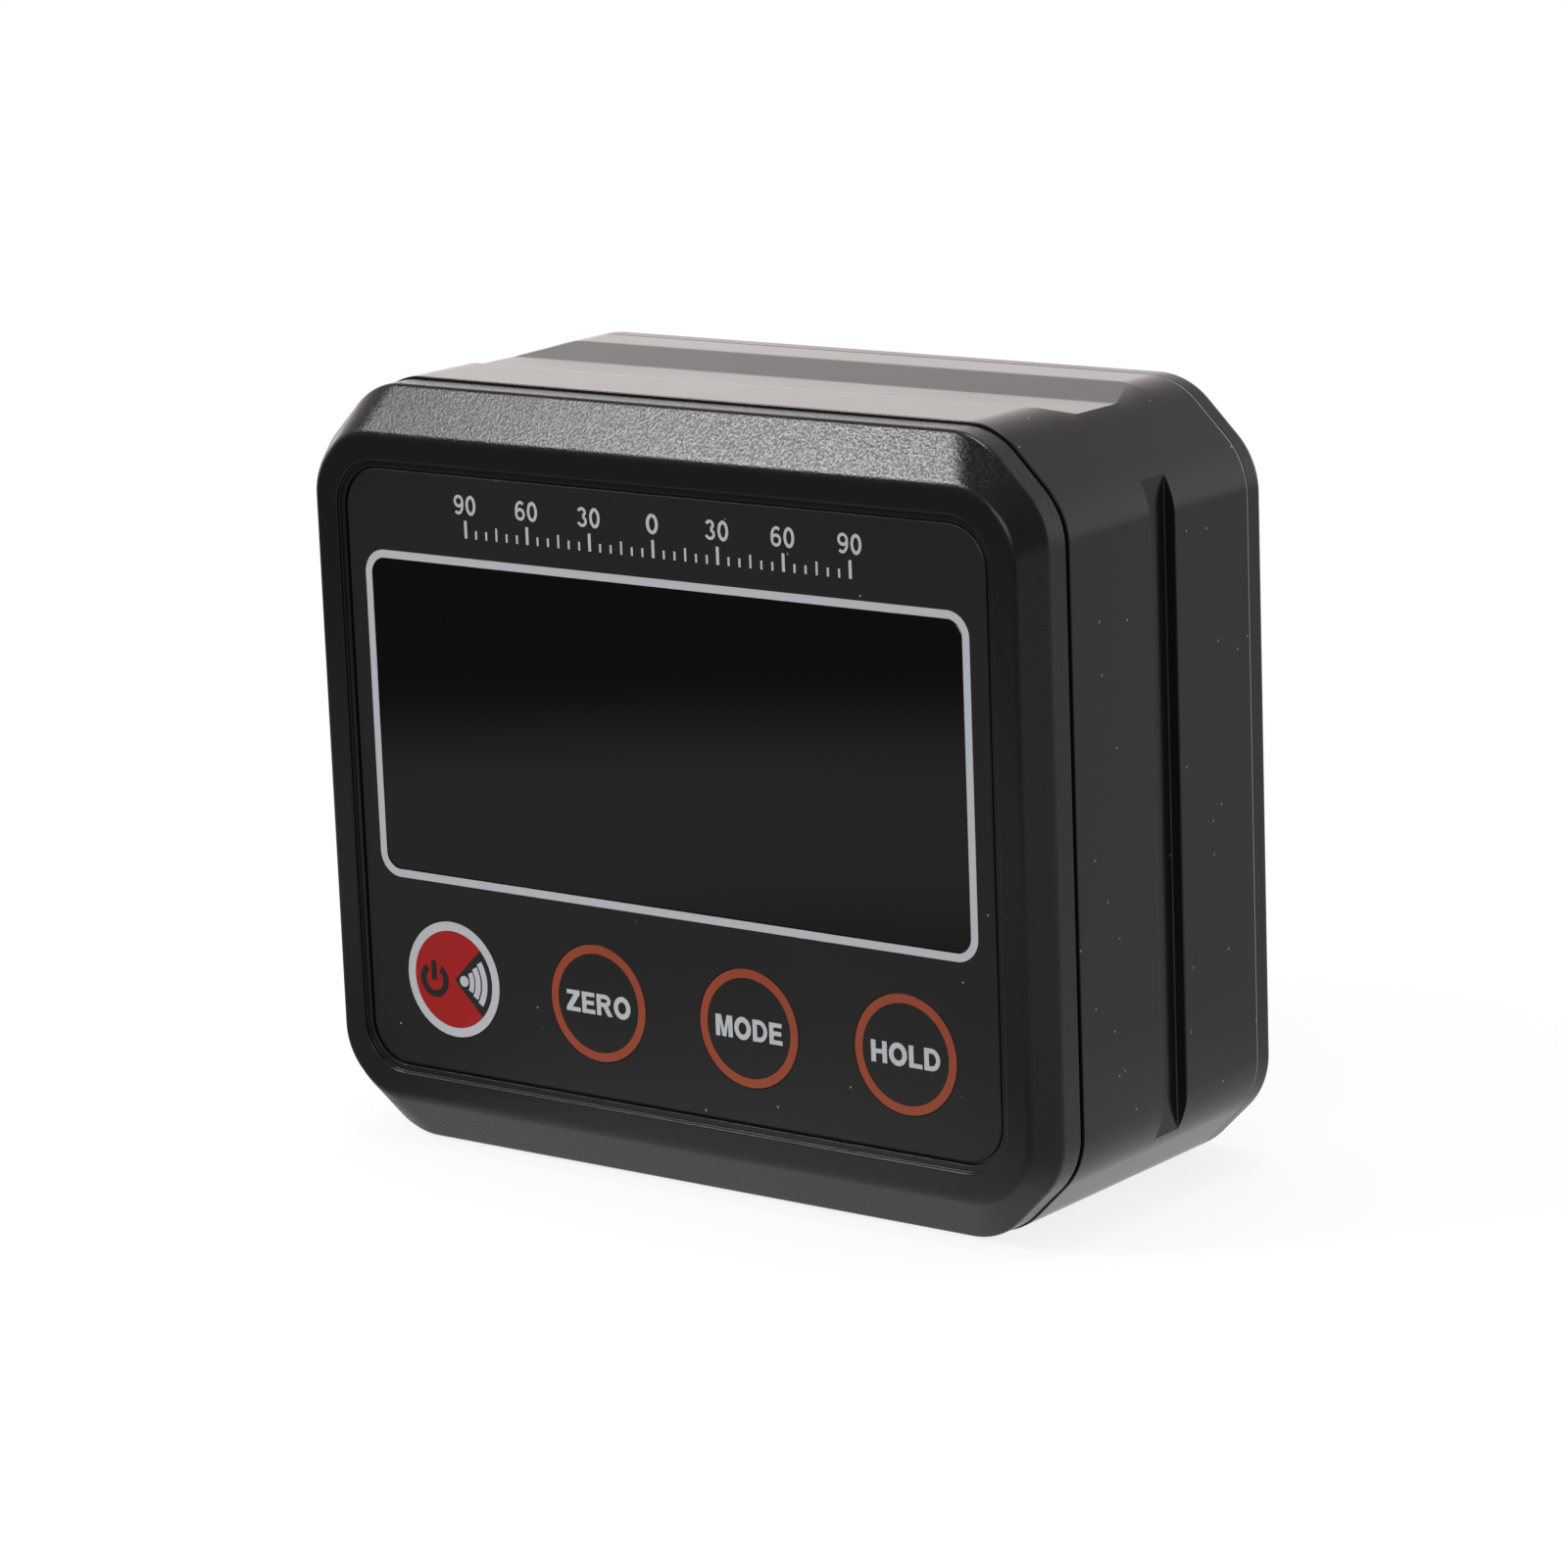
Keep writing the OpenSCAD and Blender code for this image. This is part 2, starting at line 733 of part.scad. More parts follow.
// Conical spring that stands on z = 0 with its wide end down
module cone_spring() {
    steps = spring_turns * spring_steps;
    rings = [for (i = [0:steps]) spring_ring(i / steps)];
    n = spring_sides;
    sides = [
        for (k = [0:steps - 1]) for (s = [0:n - 1]) let (a = k * n + s, b = k * n + (s + 1) % n)
            each [[a, b, b + n], [a, b + n, a + n]]
    ];
    start = [for (s = [n - 1:-1:0]) s];
    end = [for (s = [0:n - 1]) steps * n + s];
    polyhedron(points = [for (ring = rings) each ring], faces = concat([start, end], sides));
}

module bridge_spring() {
    color(nickel) translate([-plate_x, y_cell, cell_z_lower]) rotate([0, 90, 0]) cone_spring();
}

module negative_spring() {
    color(nickel) translate([plate_x, y_cell, cell_z_upper]) rotate([0, -90, 0]) cone_spring();
}

module magnet(sx) {
    color(nickel) translate([sx * magnet_x, magnet_y, wall + magnet_t / 2])
        cube([magnet_l, magnet_w, magnet_t], center = true);
}

module left_magnet() {
    magnet(-1);
}

module right_magnet() {
    magnet(1);
}

module case_screws() {
    color("silver") at_case_screws() {
        rod(0, 0, screw_d, y_screw_tip, y_screw_seat + lap);
        rod(0, 0, screw_head_d, y_screw_seat, y_screw_seat + screw_head_t);
    }
}

module board_screws() {
    head_t = 1;
    tip_gap = 0.3;
    color("silver") at_board_screws() {
        rod(0, 0, board_screw_d, y_inside + tip_gap, y_board_rear + head_t / 2);
        rod(0, 0, 2 * board_screw_d, y_board_rear, y_board_rear + head_t);
    }
}

front_bezel();
body_housing();
rear_cover();
battery_door();
face_overlay();
display_window();
lcd_panel();
lcd_backlight();
lcd_contact_strip();
main_board();
tilt_sensor();
controller_chip();
sounder();
power_key();
zero_key();
mode_key();
hold_key();
power_switch();
zero_switch();
mode_switch();
hold_switch();
upper_cell();
lower_cell();
bridge_contact();
bridge_spring();
negative_contact();
negative_spring();
positive_contact();
left_magnet();
right_magnet();
case_screws();
board_screws();
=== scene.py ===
"""Digital angle gauge: the dressed model of a boxed electronic level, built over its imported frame.

Sizes in the classes are millimetres in the part's frame: X to the right, Y to the rear, Z up, base at Z = 0.
Outlines of the face and the case are rings of (x, z) points, counter-clockwise seen from the front.
"""

from __future__ import annotations

import logging
import math
from dataclasses import dataclass, field
from enum import Enum

import bmesh
import bpy
import numpy as np
from mathutils import Matrix, Vector
from mathutils.geometry import delaunay_2d_cdt

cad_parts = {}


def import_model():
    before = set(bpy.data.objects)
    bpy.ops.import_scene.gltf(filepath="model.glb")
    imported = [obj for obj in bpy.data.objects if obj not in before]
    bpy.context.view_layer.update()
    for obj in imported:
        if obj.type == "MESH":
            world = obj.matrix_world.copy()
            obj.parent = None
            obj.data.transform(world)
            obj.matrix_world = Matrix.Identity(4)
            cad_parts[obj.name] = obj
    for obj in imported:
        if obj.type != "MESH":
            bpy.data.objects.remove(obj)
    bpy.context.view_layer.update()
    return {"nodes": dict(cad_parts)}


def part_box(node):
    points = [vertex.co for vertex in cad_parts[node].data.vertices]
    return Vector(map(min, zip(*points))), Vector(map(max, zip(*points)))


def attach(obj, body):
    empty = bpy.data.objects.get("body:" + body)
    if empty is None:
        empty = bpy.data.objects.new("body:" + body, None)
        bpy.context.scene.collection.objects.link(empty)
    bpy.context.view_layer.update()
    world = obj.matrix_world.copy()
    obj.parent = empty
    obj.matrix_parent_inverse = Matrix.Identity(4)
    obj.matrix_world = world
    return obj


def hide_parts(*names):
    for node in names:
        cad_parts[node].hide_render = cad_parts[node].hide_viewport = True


LOG = logging.getLogger("angle_gauge")
MM = 0.001
TAN_EIGHTH = math.tan(math.pi / 8)
# Steps of each of the two arcs at a corner of a ring, and how far apart those of a round corner stay.
ARC_STEPS = 10
ARC_GAP = 0.01
# Largest share of a leg that a rounded corner takes, and the guard point's place on it, in setbacks.
LEG_SHARE = 0.42
GUARD = 1.15
# Points that are nearer are one: those of a mesh, in metres, and those of flat rings, in millimetres.
MERGE = 2e-6
SNAP = 1e-6
# Values between which a noise texture mostly stays, and those of its pits and peaks.
NOISE_SPAN = (0.3, 0.7)
PEAK_SPAN = (0.35, 0.65)

Array = np.ndarray
Line = list[tuple[float, float]]
Station = tuple[Array, float, float]
Place = tuple[float, float, float]
Object = bpy.types.Object
Material = bpy.types.Material
Tree = bpy.types.NodeTree
Socket = bpy.types.NodeSocket


class Body(str, Enum):
    """Bodies of the frame that pieces ride on."""

    CASE = "case"
    DOOR = "door"
    POWER = "power_button"
    ZERO = "zero_button"
    MODE = "mode_button"
    HOLD = "hold_button"


# Rings and grids


def arc(cx: float, cz: float, radius: float, start: float, stop: float, steps: int) -> Array:
    """Points of a circular arc: centre plus radius times (cos a, sin a), a evenly from start to stop.

    Args:
        cx: Centre along X.
        cz: Centre along Z.
        radius: Radius of the arc.
        start: First angle in degrees.
        stop: Last angle in degrees.
        steps: Number of steps between the ends.

    Returns:
        Array of shape (steps + 1, 2).
    """
    a = np.radians(np.linspace(start, stop, steps + 1))
    return np.stack([cx + radius * np.cos(a), cz + radius * np.sin(a)], axis=1)


def four_corners(corner: Array) -> Array:
    """Mirrors one corner's points, right side to top, into a whole ring about the origin."""
    back = corner[::-1]
    return np.concatenate([corner, back * [-1.0, 1.0], -corner, back * [1.0, -1.0]])


def cut_ring(half_w: float, half_h: float, cut: float, radius: float, mid_z: float) -> Array:
    """Rectangle whose corners are cut at 45 degrees, each cut blended by an arc at both its ends.

    Args:
        half_w: Half the width.
        half_h: Half the height.
        cut: Leg of the corner cut.
        radius: Radius of the blending arcs.
        mid_z: Height of the middle.

    Returns:
        Ring of (x, z) points.
    """
    t = radius * TAN_EIGHTH
    low = arc(half_w - radius, half_h - cut - t, radius, 0, 45, ARC_STEPS)
    high = arc(half_w - cut - t, half_h - radius, radius, 45, 90, ARC_STEPS)
    return four_corners(np.concatenate([low, high])) + np.array([0.0, mid_z])


def round_ring(half_w: float, half_h: float, radius: float, mid_z: float) -> Array:
    """Rectangle with round corners: a cut ring whose two arcs all but share their centre."""
    return cut_ring(half_w, half_h, radius * (1 - TAN_EIGHTH) + ARC_GAP, radius, mid_z)


def arc_band(
    cx: float, cz: float, inner: float, outer: float, start: float, stop: float, steps: int
) -> Array:
    """Ring of an arc-shaped stroke: out along its outer radius and back along its inner one."""
    there = arc(cx, cz, outer, start, stop, steps)
    return np.concatenate([there, arc(cx, cz, inner, stop, start, steps)])


def stroke(line: Array, width: float) -> Array:
    """Ring of a pen stroke: its line moved half a width to both sides, with mitred corners.

    A corner moves by (n0 + n1) / (1 + n0.n1), where n0 and n1 are the normals of the two legs.

    Args:
        line: Points of the line.
        width: Width of the pen.

    Returns:
        Ring of (x, z) points.
    """
    leg = np.diff(line, axis=0)
    normal = np.stack([-leg[:, 1], leg[:, 0]], axis=1) / np.linalg.norm(leg, axis=1, keepdims=True)
    closed = np.allclose(line[0], line[-1])
    before = np.concatenate([normal[-1:] if closed else normal[:1], normal])
    after = np.concatenate([normal, normal[:1] if closed else normal[-1:]])
    move = (before + after) / (1 + np.sum(before * after, axis=1, keepdims=True)) * width / 2
    return np.concatenate([line + move, (line - move)[::-1]])


def circle_ring(cx: float, cz: float, radius: float, steps: int = 64) -> Array:
    """Ring of evenly spaced points on a circle."""
    return arc(cx, cz, radius, 0, 360 - 360 / steps, steps - 1)


def rectangle(x0: float, x1: float, z0: float, z1: float) -> Array:
    """Ring of an upright rectangle."""
    return np.array([[x1, z0], [x1, z1], [x0, z1], [x0, z0]])


def at_depth(ring: Array, y: float) -> Array:
    """Puts a ring of (x, z) points at depth y, as (x, y, z)."""
    return np.insert(ring, 1, y, axis=1)


def soften(stations: list[Array], setbacks: list[float], closed: bool, steps: int = 5) -> Array:
    """Rounds the corners of a profile that is carried along a ring.

    Each station is a ring, so column i of all of them is one profile. At a station with a setback s, the
    corner C becomes the curve (1-t)^2 A + 2t(1-t) C + t^2 B, with A and B at distance s on the two legs.
    One more point a little further out on each leg keeps the flat beside the curve flat.

    Args:
        stations: Rings of equal length, in the order of the profile.
        setbacks: Distance at which the rounding starts, 0 for a corner that stays sharp.
        closed: True where the last station joins the first.
        steps: Steps of each curve.

    Returns:
        Grid of shape (rows, ring points, 3).
    """
    rows: list[Array] = []
    count = len(stations)
    t = np.linspace(0, 1, steps + 1)[:, None, None]
    for k, corner in enumerate(stations):
        inside = closed or 0 < k < count - 1
        if not inside or setbacks[k] <= 0:
            rows.append(corner[None])
            continue
        legs = [stations[k - 1] - corner, stations[(k + 1) % count] - corner]
        lengths = [np.linalg.norm(leg, axis=1, keepdims=True) for leg in legs]
        s = np.minimum(setbacks[k], LEG_SHARE * np.minimum(*lengths))
        back, ahead = (leg / length * s for leg, length in zip(legs, lengths))
        rows.append((corner + back * GUARD)[None])
        rows.append((1 - t) ** 2 * (corner + back) + 2 * t * (1 - t) * corner + t**2 * (corner + ahead))
        rows.append((corner + ahead * GUARD)[None])
    return np.concatenate(rows)


def soft_line(points: Line, setback: float, steps: int = 5) -> Array:
    """Rounds the corners of one open line of points, by the same curve as soften."""
    stations = [np.array([[a, b, 0.0]]) for a, b in points]
    return soften(stations, [setback] * len(points), closed=False, steps=steps)[:, 0, :2]


@dataclass
class Patch:
    """Part of a mesh: points in millimetres and faces that index them."""

    points: Array
    faces: list[list[int]]


def skin(grid: Array, wrap_rows: bool = False) -> Patch:
    """Joins the points of a grid into quads, the last column to the first.

    Args:
        grid: Points of shape (rows, columns, 3).
        wrap_rows: True to join the last row to the first too.

    Returns:
        The patch.
    """
    rows, columns = grid.shape[:2]
    r = np.arange(rows if wrap_rows else rows - 1)[:, None]
    c = np.arange(columns)[None, :]
    r1 = (r + 1) % rows
    c1 = (c + 1) % columns
    quads = np.stack([r * columns + c, r1 * columns + c, r1 * columns + c1, r * columns + c1], axis=-1)
    return Patch(grid.reshape(-1, 3), quads.reshape(-1, 4).tolist())


def swept(stations: list[Station], closed: bool, steps: int = 5) -> Patch:
    """Surface of a profile carried round, each station giving a ring, its depth and its rounding."""
    rings = [at_depth(ring, y) for ring, y, _ in stations]
    return skin(soften(rings, [s for _, _, s in stations], closed, steps), wrap_rows=closed)


def inside_ring(points: Array, ring: Array) -> Array:
    """Tells which points lie in a ring, by counting the edges that a ray along +X crosses.

    Args:
        points: Points as (x, z).
        ring: The ring.

    Returns:
        True for each point inside.
    """
    a = ring
    b = np.roll(ring, -1, axis=0)
    px, pz = points[:, :1], points[:, 1:]
    straddles = (a[:, 1] > pz) != (b[:, 1] > pz)
    run = np.where(b[:, 1] == a[:, 1], 1.0, b[:, 1] - a[:, 1])
    cross_x = a[:, 0] + (pz - a[:, 1]) * (b[:, 0] - a[:, 0]) / run
    return np.count_nonzero(straddles & (px < cross_x), axis=1) % 2 == 1


def triangles(rings: list[Array]) -> tuple[Array, Array]:
    """Delaunay triangles over the points of some rings, with every edge of the rings kept.

    Args:
        rings: Rings of (x, z) points, which may cross.

    Returns:
        Points and triangles that index them.
    """
    counts = [len(ring) for ring in rings]
    starts = np.cumsum([0, *counts[:-1]])
    edges = np.concatenate(
        [np.stack([np.arange(n), np.roll(np.arange(n), -1)], axis=1) + s for s, n in zip(starts, counts)]
    )
    points = [Vector(p) for p in np.concatenate(rings).tolist()]
    found, _, faces, *_ = delaunay_2d_cdt(points, edges.tolist(), [], 1, SNAP)
    return np.array([v[:] for v in found]), np.array(faces)


def edges_of(tri: Array) -> Array:
    """Edges of triangles as pairs of points: all the first edges, then the second, then the third."""
    return np.concatenate([tri[:, [0, 1]], tri[:, [1, 2]], tri[:, [2, 0]]])


def walls_of(rim: Array, n: int) -> Array:
    """Quads that join edges to the same edges of a layer n points further on."""
    return np.stack([rim[:, 0], rim[:, 1], rim[:, 1] + n, rim[:, 0] + n], axis=1)


def flat_face(outer: Array, holes: list[Array], y: float) -> Patch:
    """Flat face at depth y between an outer ring and the rings of its holes.

    Args:
        outer: Outer ring.
        holes: Rings to leave open.
        y: Depth of the face.

    Returns:
        The patch.
    """
    flat, tri = triangles([outer, *holes])
    middle = flat[tri].mean(axis=1)
    keep = inside_ring(middle, outer)
    for hole in holes:
        keep &= ~inside_ring(middle, hole)
    return Patch(at_depth(flat, y), tri[keep].tolist())


def wall(ring: Array, depths: list[float]) -> Patch:
    """Wall that carries a ring straight through a list of depths."""
    return skin(np.stack([at_depth(ring, y) for y in depths]))


def layer(rings: list[Array], y0: float, y1: float) -> Patch:
    """Thin closed layer that covers every one of some rings, which may overlap.

    The rings are triangulated together, a triangle stays where its middle is inside a ring, and an edge that
    only one triangle uses becomes a side.

    Args:
        rings: Rings of (x, z) points.
        y0: Depth of the front of the layer.
        y1: Depth of its rear.

    Returns:
        The patch.
    """
    flat, tri = triangles(rings)
    middle = flat[tri].mean(axis=1)
    tri = tri[np.any([inside_ring(middle, ring) for ring in rings], axis=0)]
    pairs = edges_of(tri)
    _, first, uses = np.unique(np.sort(pairs, axis=1), axis=0, return_index=True, return_counts=True)
    n = len(flat)
    sides = walls_of(pairs[first[uses == 1]], n)
    both = np.concatenate([at_depth(flat, y0), at_depth(flat, y1)])
    return Patch(both, tri.tolist() + (tri[:, ::-1] + n).tolist() + sides.tolist())


def terraces(
    outline: Array, rings: list[Array], slabs: list[tuple[float, list[int], list[int]]], y_end: float
) -> Patch:
    """Stepped solid of slabs, each the area inside some rings and outside others.

    All rings are triangulated together. A triangle becomes a face at a depth where it is solid on one side
    only, and an edge becomes a wall of a slab where it parts a solid triangle from an open one. The rim of
    the outline is left open, for an edge strip to join.

    Args:
        outline: Ring that holds all the others, number 0 in the slabs.
        rings: The other rings, numbered from 1.
        slabs: Depth at which each slab begins, rings that fill it, and rings that are cut out of it.
        y_end: Depth at which the last slab ends.

    Returns:
        The patch.
    """
    flat, tri = triangles([outline, *rings])
    tri = tri[inside_ring(flat[tri].mean(axis=1), outline)]
    middle = flat[tri].mean(axis=1)
    inside = np.array([inside_ring(middle, ring) for ring in [outline, *rings]])
    solid = np.array([inside[fill].any(axis=0) & ~inside[cut].any(axis=0) for _, fill, cut in slabs])
    pairs = np.sort(edges_of(tri), axis=1)
    edges, index, uses = np.unique(pairs, axis=0, return_inverse=True, return_counts=True)
    owner = np.tile(np.arange(len(tri)), 3)
    n = len(flat)
    parts: list[Array] = []
    for k, slab in enumerate(solid):
        rim = edges[(np.bincount(index.ravel(), slab[owner]) == 1) & (uses == 2)] + k * n
        parts.append(walls_of(rim, n))
    empty = np.zeros((1, len(tri)), dtype=bool)
    change = np.concatenate([empty, solid]) != np.concatenate([solid, empty])
    parts += [tri[turn] + k * n for k, turn in enumerate(change)]
    points = np.concatenate([at_depth(flat, y) for y in [*(y for y, _, _ in slabs), y_end]])
    used = np.unique(np.concatenate([part.ravel() for part in parts]))
    return Patch(points[used], [face for part in parts for face in np.searchsorted(used, part).tolist()])


def turned(profile: Line, cx: float, cz: float, steps: int = 64) -> Patch:
    """Surface of revolution about an axis along Y: (cx + r cos a, y, cz + r sin a) for each (r, y).

    Args:
        profile: (radius, depth) pairs, a radius of 0 closing the surface on its axis.
        cx: Axis along X.
        cz: Axis along Z.
        steps: Points round the axis.

    Returns:
        The patch.
    """
    line = np.array(profile, dtype=float)
    a = np.linspace(0, 2 * np.pi, steps, endpoint=False)
    grid = np.empty((len(line), steps, 3))
    grid[..., 0] = cx + line[:, :1] * np.cos(a)
    grid[..., 1] = line[:, 1:]
    grid[..., 2] = cz + line[:, :1] * np.sin(a)
    return skin(grid)


def block(low: Place, high: Place) -> Patch:
    """Box between two corners."""
    sides = wall(rectangle(low[0], high[0], low[2], high[2]), [low[1], high[1]])
    return Patch(sides.points, sides.faces + [[3, 2, 1, 0], [4, 5, 6, 7]])


def to_mesh(name: str, patches: list[Patch], sharp_deg: float = 32.0) -> Object:
    """Makes one object of patches: doubles merged, faces turned outwards, shaded smooth up to an angle.

    Args:
        name: Name of the piece.
        patches: What the piece is made of, in millimetres.
        sharp_deg: Edges that turn more than this stay sharp.

    Returns:
        The object, at the origin and in metres.
    """
    starts = np.cumsum([0] + [len(p.points) for p in patches])
    points = np.concatenate([p.points for p in patches]) * MM
    faces = [[i + int(s) for i in f] for p, s in zip(patches, starts) for f in p.faces]
    mesh = bpy.data.meshes.new(name)
    mesh.from_pydata(points.tolist(), [], faces)
    bm = bmesh.new()
    bm.from_mesh(mesh)
    bmesh.ops.remove_doubles(bm, verts=bm.verts, dist=MERGE)
    bmesh.ops.recalc_face_normals(bm, faces=bm.faces)
    bm.to_mesh(mesh)
    bm.free()
    mesh.shade_smooth()
    mesh.set_sharp_from_angle(angle=math.radians(sharp_deg))
    piece = bpy.data.objects.new(name, mesh)
    bpy.context.scene.collection.objects.link(piece)
    return piece


# Finishes


def linear(hex_colour: str) -> tuple[float, float, float, float]:
    """Turns a colour to linear light, by the sRGB curve.

    Args:
        hex_colour: sRGB colour as a hex value.

    Returns:
        Linear red, green, blue and alpha.
    """
    srgb = np.array([int(hex_colour[i : i + 2], 16) for i in (1, 3, 5)]) / 255
    value = np.where(srgb <= 0.04045, srgb / 12.92, ((srgb + 0.055) / 1.055) ** 2.4)
    return (*value.tolist(), 1.0)


def bare_tree(owner: Material | bpy.types.World) -> Tree:
    """Gives the node tree of a material or a world, emptied.

    Args:
        owner: The material or the world.

    Returns:
        The tree.
    """
    owner.use_nodes = True
    owner.node_tree.nodes.clear()
    return owner.node_tree


def add(tree: Tree, kind: str, sockets: dict | None = None, **settings: object) -> bpy.types.Node:
    """Adds a node with its settings, and sets or links its input sockets.

    Args:
        tree: Tree that gets the node.
        kind: Type of the node.
        sockets: Value, or output socket to link, for each named or numbered input.
        settings: Attributes of the node.

    Returns:
        The node.
    """
    node = tree.nodes.new(kind)
    for key, value in settings.items():
        setattr(node, key, value)
    for key, value in (sockets or {}).items():
        if isinstance(value, Socket):
            tree.links.new(value, node.inputs[key])
        else:
            node.inputs[key].default_value = value
    return node


@dataclass(frozen=True)
class PolishedField:
    """Upright rectangle of a mould that was polished, with the texture beyond it. Sizes in millimetres."""

    half_x: float
    half_z: float
    mid_z: float
    fade: float

    def texture_share(self, tree: Tree, coord: Socket) -> Socket:
        """Adds nodes for the share of the texture: 0 in the rectangle, 1 from the fade's width beyond it.

        The larger of |x| - half_x and |z - mid_z| - half_z tells how far beyond a point lies.

        Args:
            tree: Tree that gets the nodes.
            coord: Place on the object.

        Returns:
            Output with the share.
        """
        middle, reach = (0, 0, self.mid_z * MM), (self.half_x * MM, 0, self.half_z * MM)
        offset = add(tree, "ShaderNodeVectorMath", {0: coord, 1: middle}, operation="SUBTRACT").outputs[0]
        mirrored = add(tree, "ShaderNodeVectorMath", {0: offset}, operation="ABSOLUTE").outputs[0]
        past = add(tree, "ShaderNodeVectorMath", {0: mirrored, 1: reach}, operation="SUBTRACT").outputs[0]
        split = add(tree, "ShaderNodeSeparateXYZ", {0: past}).outputs
        far = add(tree, "ShaderNodeMath", {0: split["X"], 1: split["Z"]}, operation="MAXIMUM").outputs[0]
        return add(tree, "ShaderNodeMapRange", {0: far, 1: 0.0, 2: self.fade * MM, 3: 0.0, 4: 1.0}).outputs[0]


@dataclass(frozen=True)
class Plastic:
    """A moulded or printed polymer surface.

    grain_mm and grain_depth_mm are the spacing and height of its moulded texture. mottle is the share by
    which its colour and roughness wander over mottle_mm. dust is the share of cells of dust_mm that hold a
    pale speck, which fades out over speck, in cells. brushed is how much longer the texture is along Z than
    across it. pitted is the share by which the pits of the texture are rougher, and its peaks smoother, than
    the whole. polished is a field that the texture leaves out.
    """

    name: str
    colour: str
    roughness: float
    grain_mm: float
    grain_depth_mm: float
    ior: float = 1.5
    mottle: float = 0.12
    mottle_mm: float = 9.0
    dust: float = 0.0
    dust_mm: float = 0.4
    dust_colour: str = "#8f8d8a"
    speck: tuple[float, float] = (0.16, 0.26)
    brushed: float = 1.0
    pitted: float = 0.0
    polished: PolishedField | None = None
    slot: str = "shell"

    def tint(self, tree: Tree, coord: Socket, patchy: Socket) -> Socket:
        """Adds nodes for the colour: the base, darker and lighter in patches, under specks of dust.

        Args:
            tree: Tree that gets the nodes.
            coord: Place on the object.
            patchy: Noise of the patches.

        Returns:
            Output with the colour.
        """
        base = linear(self.colour)[:3]
        dark = (*(c * (1 - self.mottle) for c in base), 1.0)
        light = (*(min(1.0, c * (1 + self.mottle)) for c in base), 1.0)
        colour = add(tree, "ShaderNodeMix", {0: patchy, 6: dark, 7: light}, data_type="RGBA").outputs[2]
        if self.dust <= 0:
            return colour
        cells = {"Vector": coord, "Scale": 1 / (self.dust_mm * MM), "Randomness": 1.0}
        cell = add(tree, "ShaderNodeTexVoronoi", cells).outputs
        fade = {0: cell["Distance"], 1: self.speck[0], 2: self.speck[1], 3: 1.0, 4: 0.0}
        near = add(tree, "ShaderNodeMapRange", fade).outputs[0]
        chance = add(tree, "ShaderNodeSeparateColor", {0: cell["Color"]}).outputs["Red"]
        pick = add(tree, "ShaderNodeMath", {0: chance, 1: self.dust}, operation="LESS_THAN").outputs[0]
        speck = add(tree, "ShaderNodeMath", {0: near, 1: pick}, operation="MULTIPLY").outputs[0]
        dusted = {0: speck, 6: colour, 7: linear(self.dust_colour)}
        return add(tree, "ShaderNodeMix", dusted, data_type="RGBA").outputs[2]

    def gloss(self, tree: Tree, patchy: Socket, height: Socket) -> Socket:
        """Adds nodes for the roughness: it wanders in patches, and is higher in pits than on peaks.

        Args:
            tree: Tree that gets the nodes.
            patchy: Noise of the patches.
            height: Height of the texture.

        Returns:
            Output with the roughness.
        """
        low, high = self.roughness * (1 - self.mottle), self.roughness * (1 + self.mottle)
        patches = dict(enumerate((patchy, *NOISE_SPAN, low, high)))
        rough = add(tree, "ShaderNodeMapRange", patches).outputs[0]
        if self.pitted <= 0:
            return rough
        peaks = dict(enumerate((height, *PEAK_SPAN, 1 + self.pitted, 1 - self.pitted)))
        worn = add(tree, "ShaderNodeMapRange", peaks).outputs[0]
        return add(tree, "ShaderNodeMath", {0: rough, 1: worn}, operation="MULTIPLY").outputs[0]

    def material(self) -> Material:
        """Makes the material, with the texture as a bump.

        Returns:
            The material.
        """
        mat = bpy.data.materials.new(self.name)
        tree = bare_tree(mat)
        coord = add(tree, "ShaderNodeTexCoord").outputs["Object"]
        stretch = {"Vector": coord, "Scale": (1, 1, 1 / self.brushed)}
        place = add(tree, "ShaderNodeMapping", stretch).outputs[0]
        grain = {"Vector": place, "Scale": 1 / (self.grain_mm * MM), "Detail": 2.0, "Roughness": 0.6}
        height = add(tree, "ShaderNodeTexNoise", grain).outputs["Fac"]
        if self.polished:
            share = self.polished.texture_share(tree, coord)
            height = add(tree, "ShaderNodeMix", {0: share, 2: 0.5, 3: height}).outputs[0]
        wander = {"Vector": place, "Scale": 1 / (self.mottle_mm * MM), "Detail": 4.0, "Roughness": 0.65}
        patchy = add(tree, "ShaderNodeTexNoise", wander).outputs["Fac"]
        relief = {"Height": height, "Strength": 1.0, "Distance": self.grain_depth_mm * MM}
        surface = {
            "Base Color": self.tint(tree, coord, patchy),
            "Roughness": self.gloss(tree, patchy, height),
            "IOR": self.ior,
            "Normal": add(tree, "ShaderNodeBump", relief).outputs[0],
        }
        shader = add(tree, "ShaderNodeBsdfPrincipled", surface).outputs[0]
        add(tree, "ShaderNodeOutputMaterial", {"Surface": shader})
        return mat


